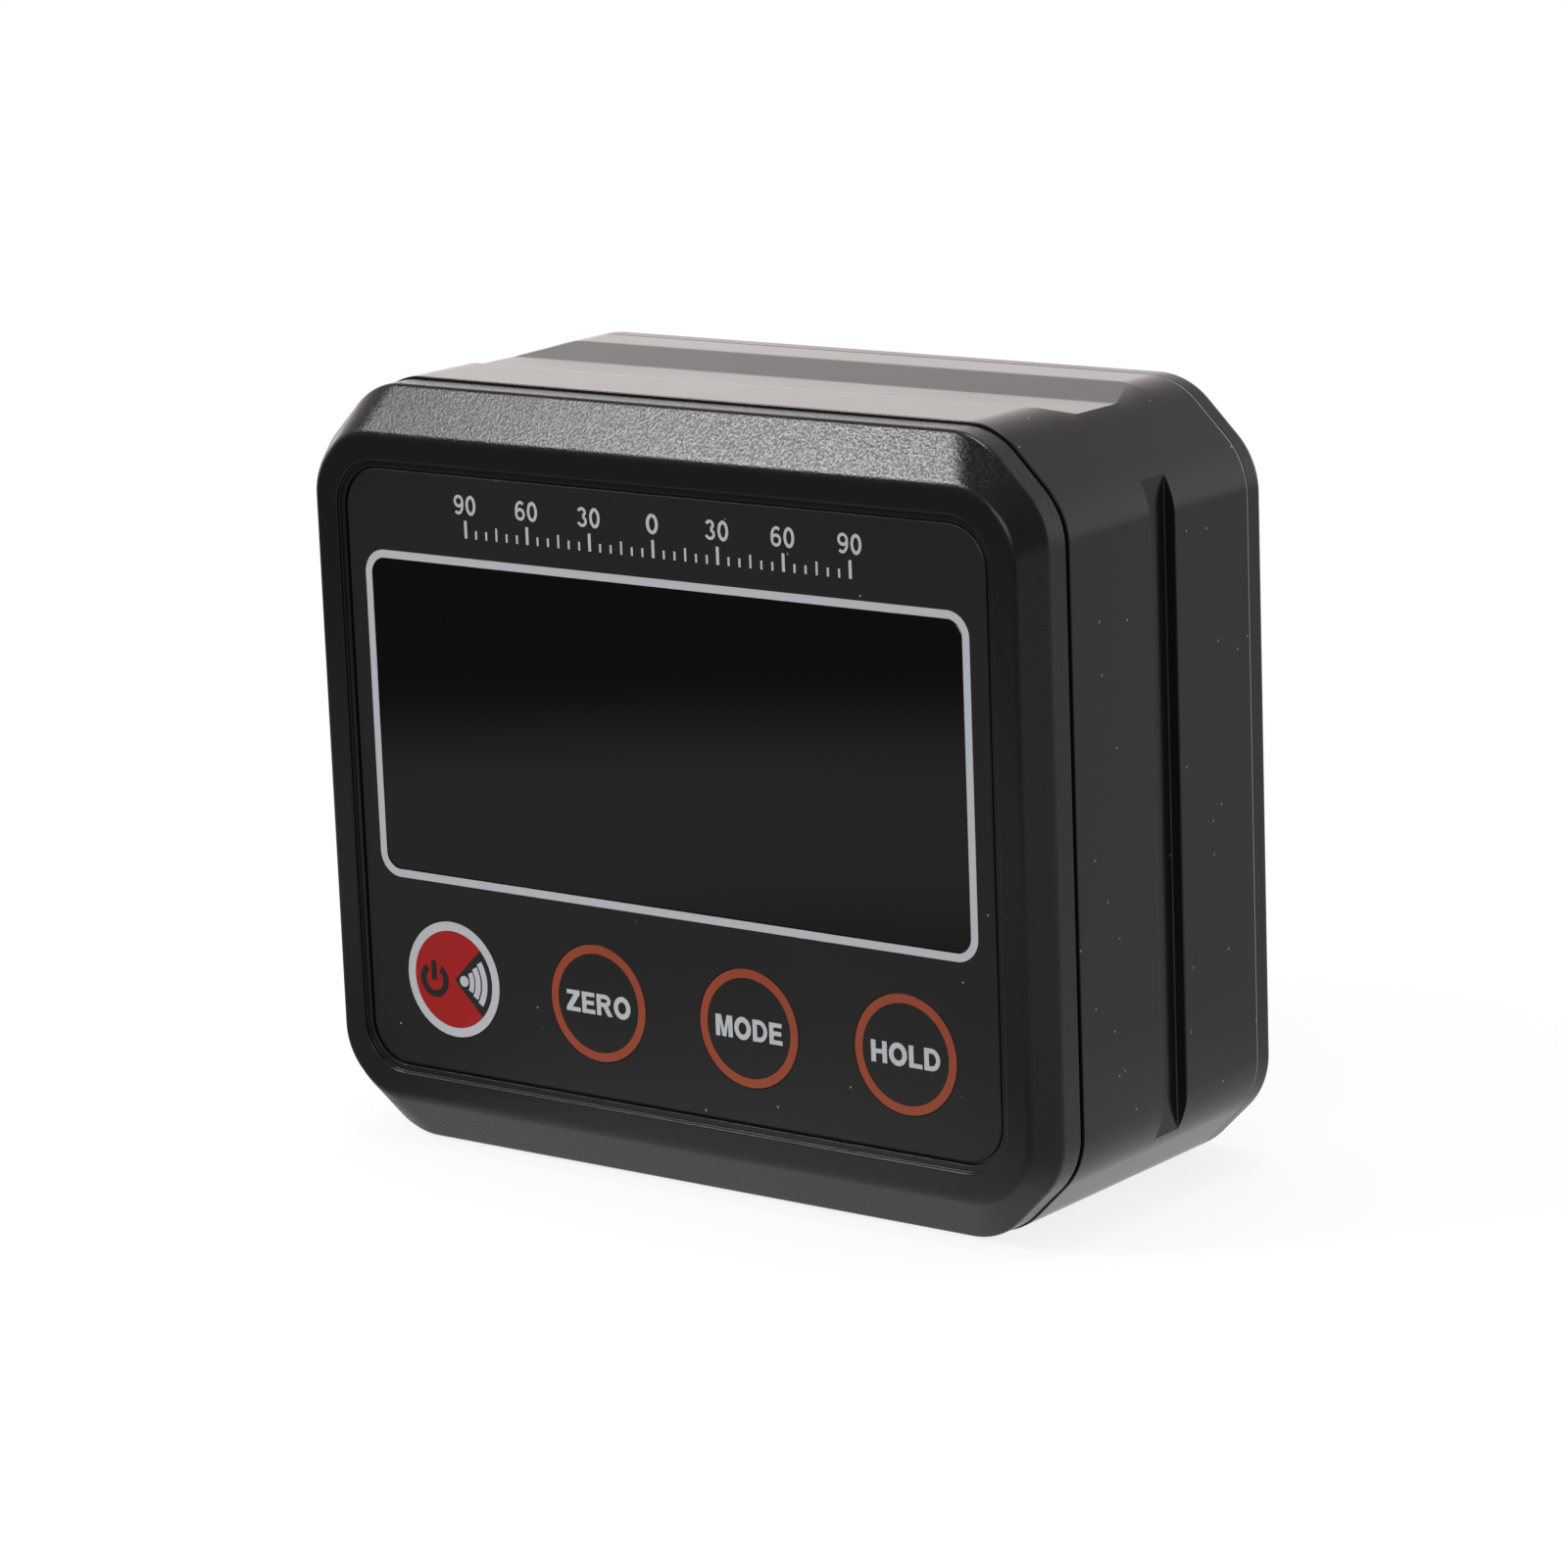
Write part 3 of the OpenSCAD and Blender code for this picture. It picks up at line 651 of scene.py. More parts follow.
@dataclass(frozen=True)
class Metal:
    """A plated or drawn metal. Its roughness wanders by a share in fine lines, stretched along X."""

    name: str
    colour: str
    roughness: float
    wander: float = 0.25
    line_mm: float = 0.12
    stretch: float = 10.0
    slot: str = "contact"

    def material(self) -> Material:
        """Makes the material.

        Returns:
            The material.
        """
        mat = bpy.data.materials.new(self.name)
        tree = bare_tree(mat)
        coord = add(tree, "ShaderNodeTexCoord").outputs["Object"]
        drawn = {"Vector": coord, "Scale": (1 / self.stretch, 1, 1)}
        place = add(tree, "ShaderNodeMapping", drawn).outputs[0]
        lines = {"Vector": place, "Scale": 1 / (self.line_mm * MM), "Detail": 3.0}
        line = add(tree, "ShaderNodeTexNoise", lines).outputs["Fac"]
        low, high = self.roughness * (1 - self.wander), self.roughness * (1 + self.wander)
        rough = add(tree, "ShaderNodeMapRange", dict(enumerate((line, *NOISE_SPAN, low, high)))).outputs[0]
        surface = {"Base Color": linear(self.colour), "Metallic": 1.0, "Roughness": rough}
        shader = add(tree, "ShaderNodeBsdfPrincipled", surface).outputs[0]
        add(tree, "ShaderNodeOutputMaterial", {"Surface": shader})
        return mat


class Finish(Enum):
    """Finishes of the gauge's pieces, each named for its real material and how its surface was made."""

    # The grains of velvet film, ink and drawn metal are too fine to show in the render, so they are drawn as
    # coarse as they need to show.

    # Black ABS from a spark-eroded mould: a fine pebble that glitters where a light is mirrored.
    # The flat rim and the recess of its mould were polished.
    SPARK_ABS = Plastic(
        "spark_textured_abs",
        "#131212",
        0.26,
        0.22,
        0.026,
        mottle=0.05,
        pitted=0.34,
        polished=PolishedField(half_x=32.45, half_z=26.05, mid_z=30.0, fade=0.3),
    )
    # The same ABS from a finer spark finish, which keeps more of its gloss.
    FINE_SPARK_ABS = Plastic("fine_spark_abs", "#141313", 0.25, 0.20, 0.010, mottle=0.05)
    # Black ABS from a drawn and polished mould: satin, with faint draw lines and some dust.
    SATIN_ABS = Plastic(
        "satin_abs", "#151414", 0.2, 0.25, 0.0012, mottle=0.05, dust=0.005, brushed=12.0, slot="body"
    )
    # The same ABS where a moulding edge was trimmed, and dull. Its pale grey is a painted highlight along the
    # seam.
    TRIMMED_ABS = Plastic("trimmed_abs", "#a09d98", 0.5, 0.2, 0.01, mottle=0.25, mottle_mm=1.5)
    # Polyester print film with a velvet face: dull black, very fine grain, some dust.
    VELVET_FILM = Plastic(
        "velvet_polyester_film", "#161515", 0.42, 0.18, 0.005, mottle=0.06, dust=0.005, slot="film"
    )
    # Smoked acrylic: near black and mirror smooth, with a trace of handling.
    SMOKED_ACRYLIC = Plastic(
        "smoked_acrylic", "#050404", 0.06, 2.5, 0.0003, ior=1.49, mottle=0.3, mottle_mm=14, slot="window"
    )
    # Screen inks: dull, even layers that show the film's grain.
    GREY_INK = Plastic("light_grey_screen_ink", "#b6b9bd", 0.5, 0.18, 0.004, mottle=0.04, slot="film")
    RUST_INK = Plastic("rust_screen_ink", "#903d21", 0.5, 0.18, 0.004, mottle=0.06, slot="black_key")
    RED_INK = Plastic("red_screen_ink", "#9e0608", 0.48, 0.18, 0.004, mottle=0.06, slot="red_key")
    BLACK_INK = Plastic("black_screen_ink", "#191918", 0.5, 0.18, 0.004, slot="red_key")
    # Polished glass of the display with its dark polariser: a black mirror.
    LCD_GLASS = Plastic("polarised_lcd_glass", "#0b0c0c", 0.08, 3.0, 0.0003, ior=1.52, slot="lcd")
    # Milky acrylic light guide: white and softly glossy.
    LIGHT_GUIDE = Plastic("milky_acrylic", "#dcdcd6", 0.35, 0.8, 0.003, slot="light_guide")
    # Layered conductive silicone: grey and dull.
    SILICONE = Plastic("conductive_silicone", "#5a5a5c", 0.6, 0.3, 0.01, slot="elastomer")
    # Epoxy board under green solder mask, whose gloss wanders with the weave below.
    SOLDER_MASK = Plastic(
        "green_solder_mask", "#1d5a3a", 0.3, 0.5, 0.006, mottle=0.2, mottle_mm=3, slot="board"
    )
    # Moulded epoxy of chips and switches: dark grey and dull.
    MOULDED_EPOXY = Plastic("moulded_epoxy", "#222222", 0.5, 0.2, 0.01, slot="chip")
    # Shrink sleeve of a cell, plain grey with a soft gloss.
    CELL_SLEEVE = Plastic("plain_cell_sleeve", "#8d9196", 0.28, 0.6, 0.002, mottle=0.06, slot="cell")
    # Bright nickel plate of contacts, magnets and cell caps: warm, with fine lines in its gloss.
    NICKEL = Metal("nickel_plate", "#bdb9b0", 0.22)
    # Zinc plated steel of screws: cooler and duller than nickel.
    ZINC_STEEL = Metal("zinc_plated_steel", "#a9abad", 0.32, slot="screw")


def dress(piece: Object, finish: Finish) -> None:
    """Gives a piece one finish in place of what it has, whose material is made at its first use."""
    piece.data.materials.clear()
    piece.data.materials.append(bpy.data.materials.get(finish.value.name) or finish.value.material())


def seat(piece: Object, finish: Finish, body: Body, *nodes: str) -> None:
    """Dresses a new piece, lets it ride on a body and stand for CAD nodes.

    Args:
        piece: The new piece.
        finish: Its finish.
        body: Body that it moves with.
        nodes: CAD nodes that it replaces.
    """
    dress(piece, finish)
    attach(piece, body.value)
    for node in nodes:
        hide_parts(node)
    LOG.info("%s on %s, %d faces", piece.name, body.value, len(piece.data.polygons))


# Sub-assemblies


@dataclass
class Case:
    """Outline and depths that all the shells share."""

    width: float = 68.0
    height: float = 60.0
    corner_cut: float = 6.0
    corner_r: float = 6.0
    wall: float = 2.4
    tongue_in: float = 2.55
    tongue_t: float = 1.0
    tongue_d: float = 1.2
    y_front: float = -16.0
    y_slope: float = -13.65
    y_band: float = -11.45
    y_body_front: float = -11.15
    y_boss: float = -6.0
    y_body_rear: float = 12.11
    y_bevel: float = 13.84
    y_rear: float = 16.0
    screw_x: float = 27.2
    screw_z: float = 23.2
    boss_d: float = 5.2

    @property
    def mid_z(self) -> float:
        """Height of the middle of the case."""
        return self.height / 2

    def ring(self, inset: float, drop: float = 0.0) -> Array:
        """Outline of the case moved inwards, its cuts kept parallel, top and base in by drop more.

        Args:
            inset: How far all sides move in.
            drop: How much further top and base move in.

        Returns:
            Ring of (x, z) points.
        """
        return cut_ring(
            self.width / 2 - inset,
            self.height / 2 - inset - drop,
            self.corner_cut - inset * (2 - math.sqrt(2)) - drop,
            max(self.corner_r - inset, self.wall / 2),
            self.mid_z,
        )

    def four_places(self, x: float, z: float) -> Line:
        """Four places at distances x and z from the middle of the case."""
        return [(sx * x, self.mid_z + sz * z) for sx in (-1, 1) for sz in (-1, 1)]

    def screw_places(self) -> Line:
        """Places of the four case screws as (x, z)."""
        return self.four_places(self.screw_x, self.screw_z)


@dataclass
class Typeface:
    """A plain bold sans letter, drawn with a pen of two widths. Letters are 1 high until they are placed."""

    stem: float
    bar: float
    gap: float

    def oval(self, cx: float, cz: float, rx: float, rz: float, start: float, stop: float) -> Array:
        """Line along an ellipse, as the angle runs from start to stop in degrees."""
        return arc(0, 0, 1, start, stop, 32) * np.array([rx, rz]) + np.array([cx, cz])

    def letter(self, sign: str) -> tuple[float, list[Array]]:
        """Gives the width of a letter and the rings that it is made of.

        Args:
            sign: The letter or figure.

        Returns:
            Width, and rings that may overlap.
        """
        s, t = self.stem, self.bar
        left = stroke(np.array([[s / 2, 0], [s / 2, 1]]), s)
        if sign == "H":
            return 0.86, [left, left + [0.86 - s, 0], stroke(np.array([[0, 0.51], [0.86, 0.51]]), t)]
        if sign == "L":
            return 0.72, [left, stroke(np.array([[0, t / 2], [0.72, t / 2]]), t)]
        if sign == "E":
            bars = [(t / 2, 0.76), (0.51, 0.7), (1 - t / 2, 0.74)]
            return 0.76, [left, *(stroke(np.array([[0, z], [w, z]]), t) for z, w in bars)]
        if sign == "O":
            return 0.98, [stroke(self.oval(0.49, 0.5, 0.49 - s / 2, 0.51 - t / 2, 90, 450), s)]
        if sign == "D":
            bow = self.oval(0.38, 0.5, 0.49 - s / 2, 0.5 - t / 2, 90, -90)
            return 0.87, [left, stroke(np.concatenate([[[0, 1 - t / 2]], bow, [[0, t / 2]]]), t * 1.08)]
        if sign == "R":
            bow = self.oval(0.5, 0.71, 0.35 - s / 2, 0.29 - t / 2, 90, -90)
            leg = np.array([[0.36, 0.46], [0.64, 0], [0.93, 0], [0.64, 0.48]])
            return 0.9, [left, stroke(np.concatenate([[[0, 1 - t / 2]], bow, [[0, 0.42 + t / 2]]]), t), leg]
        if sign == "Z":
            high = [[0.03, 1 - t], [0.03, 1], [0.8, 1], [0.8, 0.82], [0.35, t]]
            low = [[0.82, t], [0.82, 0], [0, 0], [0, 0.18], [0.45, 1 - t]]
            return 0.82, [np.array(high + low)]
        if sign == "M":
            half = np.array([[0, 0], [s, 0], [s, 0.68], [0.39, 0]])
            cap = np.array([[0.33, 1], [0, 1]])
            flip = np.array([-1, 1])
            far = (half[::-1] * flip + [1, 0], cap[::-1] * flip + [1, 0])
            return 1.0, [np.concatenate([half, far[0], far[1], [[0.5, 0.33]], cap])]
        if sign == "0":
            return 0.68, [stroke(self.oval(0.34, 0.5, 0.34 - s / 2, 0.5 - t / 2, 90, 450), s)]
        if sign == "3":
            high = self.oval(0.31, 0.745, 0.29 - s / 2, 0.255 - t / 2, 165, -80)
            low = self.oval(0.31, 0.285, 0.33 - s / 2, 0.285 - t / 2, 80, -165)
            return 0.66, [stroke(high, t), stroke(low, t)]
        bowl = stroke(self.oval(0.34, 0.32, 0.34 - s / 2, 0.32 - t / 2, 90, 450), t)
        back = self.oval(0.38, 0.5, 0.38 - s / 2, 0.5 - t / 2, 52, 180)
        six = [bowl, stroke(np.concatenate([back, [[s / 2, 0.32]]]), t)]
        return 0.68, six if sign == "6" else [np.array([0.68, 1.0]) - ring for ring in six]

    def word(self, text: str, x: float, z: float, height: float, width: float) -> list[Array]:
        """Sets a word in a box of a given height and width, its middle at (x, z).

        Args:
            text: The word or number.
            x: Middle along X.
            z: Middle along Z.
            height: Height of the letters.
            width: Width of the word.

        Returns:
            Rings of the whole word.
        """
        rings: list[Array] = []
        pen = 0.0
        for sign in text:
            wide, parts = self.letter(sign)
            rings += [part + [pen, 0] for part in parts]
            pen += wide + self.gap
        middle = np.array([(pen - self.gap) / 2, 0.5])
        scale = np.array([width / (pen - self.gap), height])
        return [(ring - middle) * scale + [x, z] for ring in rings]


@dataclass
class Face:
    """Sizes of the recess, the film, the window and the keys, and the pieces that fill the recess."""

    case: Case
    y_recess: float = -15.3
    y_film: float = -15.56
    y_inside: float = -13.6
    recess_half: tuple[float, float] = (30.56, 24.18)
    recess_r: float = 3.9
    film_half: tuple[float, float] = (29.84, 23.46)
    film_r: float = 3.2
    film_edge: float = 0.06
    window_half: tuple[float, float] = (27.65, 12.25)
    window_z: float = 34.34
    window_r: float = 1.3
    window_t: float = 1.2
    window_edge: float = 0.1
    window_gap: float = 0.03
    window_ledge: float = 0.9
    key_x: tuple[float, float, float, float] = (-21.5, -7.1667, 7.1667, 21.5)
    key_z: float = 13.88
    key_r: float = 4.62
    key_gap: float = 0.035
    key_soft: float = 0.05
    bore_r: float = 4.7
    flange_r: float = 5.35
    stem_r: float = 1.5
    y_flange: float = -13.5
    y_flange_rear: float = -12.7
    y_stem: float = -11.8
    line_w: float = 0.62
    line_r: float = 1.9
    line_gap: float = 0.005
    print_t: float = 0.022
    print_sunk: float = 0.01
    rust_ring: tuple[float, float] = (3.87, 4.55)
    word_h: float = 1.66
    word_w: float = 6.2
    word_drop: float = 0.07

    def window_ring(self, grow: float) -> Array:
        """Outline of the window, grown on all sides."""
        w, h = self.window_half
        return round_ring(w + grow, h + grow, self.window_r, self.window_z)

    def key_rings(self, radius: float) -> list[Array]:
        """Circles round the four keys."""
        return [circle_ring(x, self.key_z, radius) for x in self.key_x]

    def build_film(self) -> None:
        """Film with the window and the keys left open: two faces, a bevelled rim and walls in the holes."""
        (w, h), edge, mid = self.film_half, self.film_edge, self.case.mid_z
        rim = round_ring(w, h, self.film_r, mid)
        top = round_ring(w - edge, h - edge, self.film_r, mid)
        holes = [self.window_ring(self.window_gap), *self.key_rings(self.key_r + self.key_gap)]
        y0, y1 = self.y_film, self.y_recess
        side = swept([(top, y0, 0), (rim, y0 + edge, 0), (rim, y1, 0)], closed=False)
        patches = [flat_face(top, holes, y0), flat_face(rim, holes, y1), side]
        patches += [wall(hole, [y0, y1]) for hole in holes]
        seat(to_mesh("face_film", patches), Finish.VELVET_FILM, Body.CASE, "face_overlay")

    def build_window(self) -> None:
        """Window as a plate with softened edges."""
        edge = self.window_edge
        ring_in, ring_out = self.window_ring(-edge), self.window_ring(0.0)
        y0, y1 = self.y_film, self.y_film + self.window_t
        side = swept([(ring_in, y0, 0), (ring_out, y0 + edge, 0), (ring_out, y1, 0)], closed=False)
        patches = [flat_face(ring_in, [], y0), flat_face(ring_out, [], y1), side]
        seat(to_mesh("smoked_window", patches), Finish.SMOKED_ACRYLIC, Body.CASE, "display_window")

    def build_frame_line(self) -> None:
        """Printed line round the window: a flat band between two rounded rectangles."""
        y0, y1 = self.y_film - self.print_t, self.y_film + self.print_sunk
        w, h = self.window_half
        inner = self.window_ring(self.line_gap)
        outer = round_ring(w + self.line_w, h + self.line_w, self.line_r, self.window_z)
        band = swept([(inner, y1, 0), (inner, y0, 0), (outer, y0, 0), (outer, y1, 0)], closed=True)
        seat(to_mesh("window_line", [band]), Finish.GREY_INK, Body.CASE)

    def key_cap(self, x: float) -> Patch:
        """Key with a softened top edge, its flange and its stem, turned about its own axis.

        Args:
            x: Middle of the key along X.

        Returns:
            The patch.
        """
        y = self.y_film
        soft = soft_line([(0, y), (self.key_r, y), (self.key_r, self.y_flange)], self.key_soft, 3)
        line = [
            *soft,
            (self.flange_r, self.y_flange),
            (self.flange_r, self.y_flange_rear),
            (self.stem_r, self.y_flange_rear),
            (self.stem_r, self.y_stem),
            (0.0, self.y_stem),
        ]
        return turned(line, x, self.key_z)

    def printed(self, name: str, rings: list[Array], ink: Finish, body: Body, coat: int = 1) -> None:
        """Prints the area of some rings on the face as a thin layer.

        Args:
            name: Name of the piece.
            rings: Rings that the ink covers.
            ink: The ink.
            body: Body that the print moves with.
            coat: How many coats of ink lie at this place, this one included.
        """
        y0, y1 = self.y_film - coat * self.print_t, self.y_film + self.print_sunk
        seat(to_mesh(name, [layer(rings, y0, y1)]), ink, body)

    def annulus(self, x: float, inner: float, outer: float) -> Array:
        """Ring of a circular band round a key: once round outside, and once back inside."""
        return arc_band(x, self.key_z, inner, outer, 90, 450, 96)

    def build_black_keys(self) -> None:
        """The three black keys with their printed rings and words."""
        pen = Typeface(stem=0.25, bar=0.2, gap=0.11)
        keys = zip((Body.ZERO, Body.MODE, Body.HOLD), ("zero", "mode", "hold"), self.key_x[1:])
        for body, word, x in keys:
            seat(to_mesh(f"{word}_cap", [self.key_cap(x)]), Finish.VELVET_FILM, body, f"{word}_key")
            self.printed(f"{word}_ring", [self.annulus(x, *self.rust_ring)], Finish.RUST_INK, body)
            letters = pen.word(word.upper(), x, self.key_z - self.word_drop, self.word_h, self.word_w)
            self.printed(f"{word}_word", letters, Finish.GREY_INK, body)

    def build(self) -> None:
        """Builds all that fills the recess."""
        self.build_film()
        self.build_window()
        self.build_frame_line()
        self.build_black_keys()
        PowerKey(self).build()
        DegreeScale(self).build()


@dataclass
class PowerKey:
    """Red power key: pale ring, power sign, and a dark sector with a dot and three sound arcs.

    Places are measured from the middle of the key. Angles are degrees. Each sound arc has an inner and an
    outer radius about the sector's apex, and reaches as far to both sides.
    """

    face: Face
    ring: tuple[float, float] = (3.86, 4.58)
    disc_r: float = 3.855
    sector_r: float = 3.85
    sector_reach: float = 43.5
    apex_x: float = 0.14
    sign_at: tuple[float, float] = (-1.93, -0.23)
    sign_r: tuple[float, float] = (0.86, 1.4)
    sign_arc: tuple[float, float] = (125, 415)
    bar_at: tuple[float, float] = (-1.96, 0.51)
    bar_half: tuple[float, float] = (0.25, 0.78)
    bar_r: float = 0.1
    dot_x: float = 1.1
    dot_r: float = 0.43
    sound: tuple[tuple[float, float, float], ...] = ((1.52, 1.97, 25), (2.09, 2.61, 30), (2.75, 3.28, 33))

    def build(self) -> None:
        """Builds the key and its prints."""
        f, body = self.face, Body.POWER
        x, z = f.key_x[0], f.key_z
        seat(to_mesh("power_cap", [f.key_cap(x)]), Finish.VELVET_FILM, body, "power_key")
        f.printed("power_ring", [f.annulus(x, *self.ring)], Finish.GREY_INK, body)
        f.printed("power_disc", [circle_ring(x, z, self.disc_r, 96)], Finish.RED_INK, body)
        apex = x + self.apex_x
        rim = arc(x, z, self.sector_r, -self.sector_reach, self.sector_reach, 40)
        sector = np.concatenate([[[apex, z]], rim])
        sign = arc_band(x + self.sign_at[0], z + self.sign_at[1], *self.sign_r, *self.sign_arc, 48)
        bar = round_ring(*self.bar_half, self.bar_r, z + self.bar_at[1]) + [x + self.bar_at[0], 0.0]
        f.printed("power_signs", [sector, sign, bar], Finish.BLACK_INK, body, coat=2)
        dot = circle_ring(x + self.dot_x, z, self.dot_r, 40)
        arcs = [arc_band(apex, z, inner, outer, -reach, reach, 28) for inner, outer, reach in self.sound]
        f.printed("sound_arcs", [dot, *arcs], Finish.GREY_INK, body, coat=3)


@dataclass
class DegreeScale:
    """Plain degree scale above the window. Each kind of tick has its height and half its width."""

    face: Face
    low: float = 48.75
    step: float = 1.0
    reach_deg: int = 90
    tick_deg: int = 5
    number_deg: int = 30
    number_tick: tuple[float, float] = (1.35, 0.13)
    half_way_tick: tuple[float, float] = (1.0, 0.09)
    fine_tick: tuple[float, float] = (0.65, 0.09)
    number_rise: float = 2.55
    number_h: float = 1.5
    figure_w: float = 1.02
    number_extra: float = 0.1

    def build(self) -> None:
        """Prints fine ticks, longer ones half way and under the numbers, and the numbers, as one piece."""
        pen = Typeface(stem=0.17, bar=0.15, gap=0.14)
        rings: list[Array] = []
        end = self.reach_deg + 1
        for degrees in range(-self.reach_deg, end, self.tick_deg):
            tall, half = self.fine_tick if degrees * 2 % self.number_deg else self.half_way_tick
            if degrees % self.number_deg == 0:
                tall, half = self.number_tick
            x = degrees / self.tick_deg * self.step
            rings.append(rectangle(x - half, x + half, self.low, self.low + tall))
        for degrees in range(-self.reach_deg, end, self.number_deg):
            number, x = str(abs(degrees)), degrees / self.tick_deg * self.step
            wide = self.figure_w * len(number) + self.number_extra
            rings += pen.word(number, x, self.low + self.number_rise, self.number_h, wide)
        self.face.printed("degree_scale", rings, Finish.GREY_INK, Body.CASE)


@dataclass
class Bezel:
    """Front frame: sloped border, flat rim, recess with a shelf round the film, tongue, bosses and posts."""

    case: Case
    face: Face
    step: float = 0.1
    drop: float = 0.1
    seam_depth: float = 0.8
    slope_side: float = 1.39
    slope_top: float = 3.77
    rim_cut: float = 3.15
    rim_r: float = 5.0
    floor_in: float = 2.0
    floor_r_less: float = 1.5
    shelf_gap: float = 0.2
    shelf_rise: float = 0.09
    pocket_gap: float = 0.1
    boss_hole_r: float = 1.15
    boss_root: float = 0.4
    boss_floor: float = 0.3
    post_x: float = 14.333
    post_z: float = 24.15
    post_r: float = 1.8
    post_hole_r: float = 0.85
    y_post: float = -9.5

    def border(self) -> Patch:
        """Border as a closed profile carried round: floor, shelf, rim, slope, band, seam and tongue.

        Returns:
            The patch.
        """
        c, f, mid = self.case, self.face, self.case.mid_z
        bezel_in = c.tongue_in + c.tongue_t
        y_end = c.y_body_front + c.tongue_d
        floor = self.floor_ring()
        recess = round_ring(*f.recess_half, f.recess_r, mid)
        gap, y_shelf = self.shelf_gap, f.y_film - self.shelf_rise
        shelf = round_ring(f.film_half[0] + gap, f.film_half[1] + gap, f.film_r + gap, mid)
        rim_half = (c.width / 2 - self.slope_side, c.height / 2 - self.slope_top)
        rim = cut_ring(*rim_half, self.rim_cut, self.rim_r, mid)
        band = c.ring(self.step, self.drop)
        stations = [
            (floor, f.y_recess, 0.0),
            (shelf, f.y_recess, 0.0),
            (shelf, y_shelf, 0.07),
            (recess, y_shelf, 0.1),
            (recess, c.y_front, 0.16),
            (rim, c.y_front, 0.4),
            (band, c.y_slope, 0.26),
            (band, c.y_band, 0.08),
            (c.ring(self.seam_depth), c.y_band, 0.0),
            (c.ring(self.seam_depth), c.y_body_front, 0.0),
            (c.ring(c.tongue_in), c.y_body_front, 0.0),
            (c.ring(c.tongue_in), y_end, 0.15),
            (c.ring(bezel_in), y_end, 0.15),
            (c.ring(bezel_in), f.y_inside, 0.3),
            (floor, f.y_inside, 0.0),
        ]
        return swept(stations, closed=True)

    def floor_ring(self) -> Array:
        """Ring under the film where the border meets the pierced front wall."""
        (w, h), less, r = self.face.recess_half, self.floor_in, self.face.recess_r - self.floor_r_less
        return round_ring(w - less, h - less, r, self.case.mid_z)

    def front_wall(self) -> list[Patch]:
        """Wall behind the film, with the stepped window opening and the key bores.

        Returns:
            Its patches.
        """
        f, floor = self.face, self.floor_ring()
        pocket, opening = f.window_ring(self.pocket_gap), f.window_ring(-f.window_ledge)
        bores = f.key_rings(f.bore_r)
        y_ledge = f.y_film + f.window_t
        patches = [
            flat_face(floor, [pocket, *bores], f.y_recess),
            flat_face(floor, [opening, *bores], f.y_inside),
            wall(floor, [f.y_recess, f.y_inside]),
            wall(pocket, [f.y_recess, y_ledge]),
            swept([(pocket, y_ledge, 0), (opening, y_ledge, 0)], closed=False),
            wall(opening, [y_ledge, f.y_inside]),
        ]
        return patches + [wall(bore, [f.y_recess, f.y_inside]) for bore in bores]

    def boss(self, x: float, z: float, outer: float, inner: float, y_end: float) -> Patch:
        """Hollow post that stands on the front wall, turned about its own axis.

        Args:
            x: Axis along X.
            z: Axis along Z.
            outer: Outer radius.
            inner: Radius of the hole.
            y_end: Depth of its end.

        Returns:
            The patch.
        """
        y0 = self.face.y_inside - self.boss_root
        y1 = y0 + self.boss_floor
        line = [(0, y0), (outer, y0), (outer, y_end), (inner, y_end), (inner, y1), (0, y1)]
        return turned(line, x, z, 32)

    def build(self) -> None:
        """Builds the bezel as one piece."""
        c = self.case
        patches = [self.border(), *self.front_wall()]
        patches += [self.boss(*at, c.boss_d / 2, self.boss_hole_r, c.y_boss) for at in c.screw_places()]
        posts = c.four_places(self.post_x, self.post_z)
        patches += [self.boss(*at, self.post_r, self.post_hole_r, self.y_post) for at in posts]
        seat(to_mesh("bezel_frame", patches), Finish.SPARK_ABS, Body.CASE, "front_bezel")


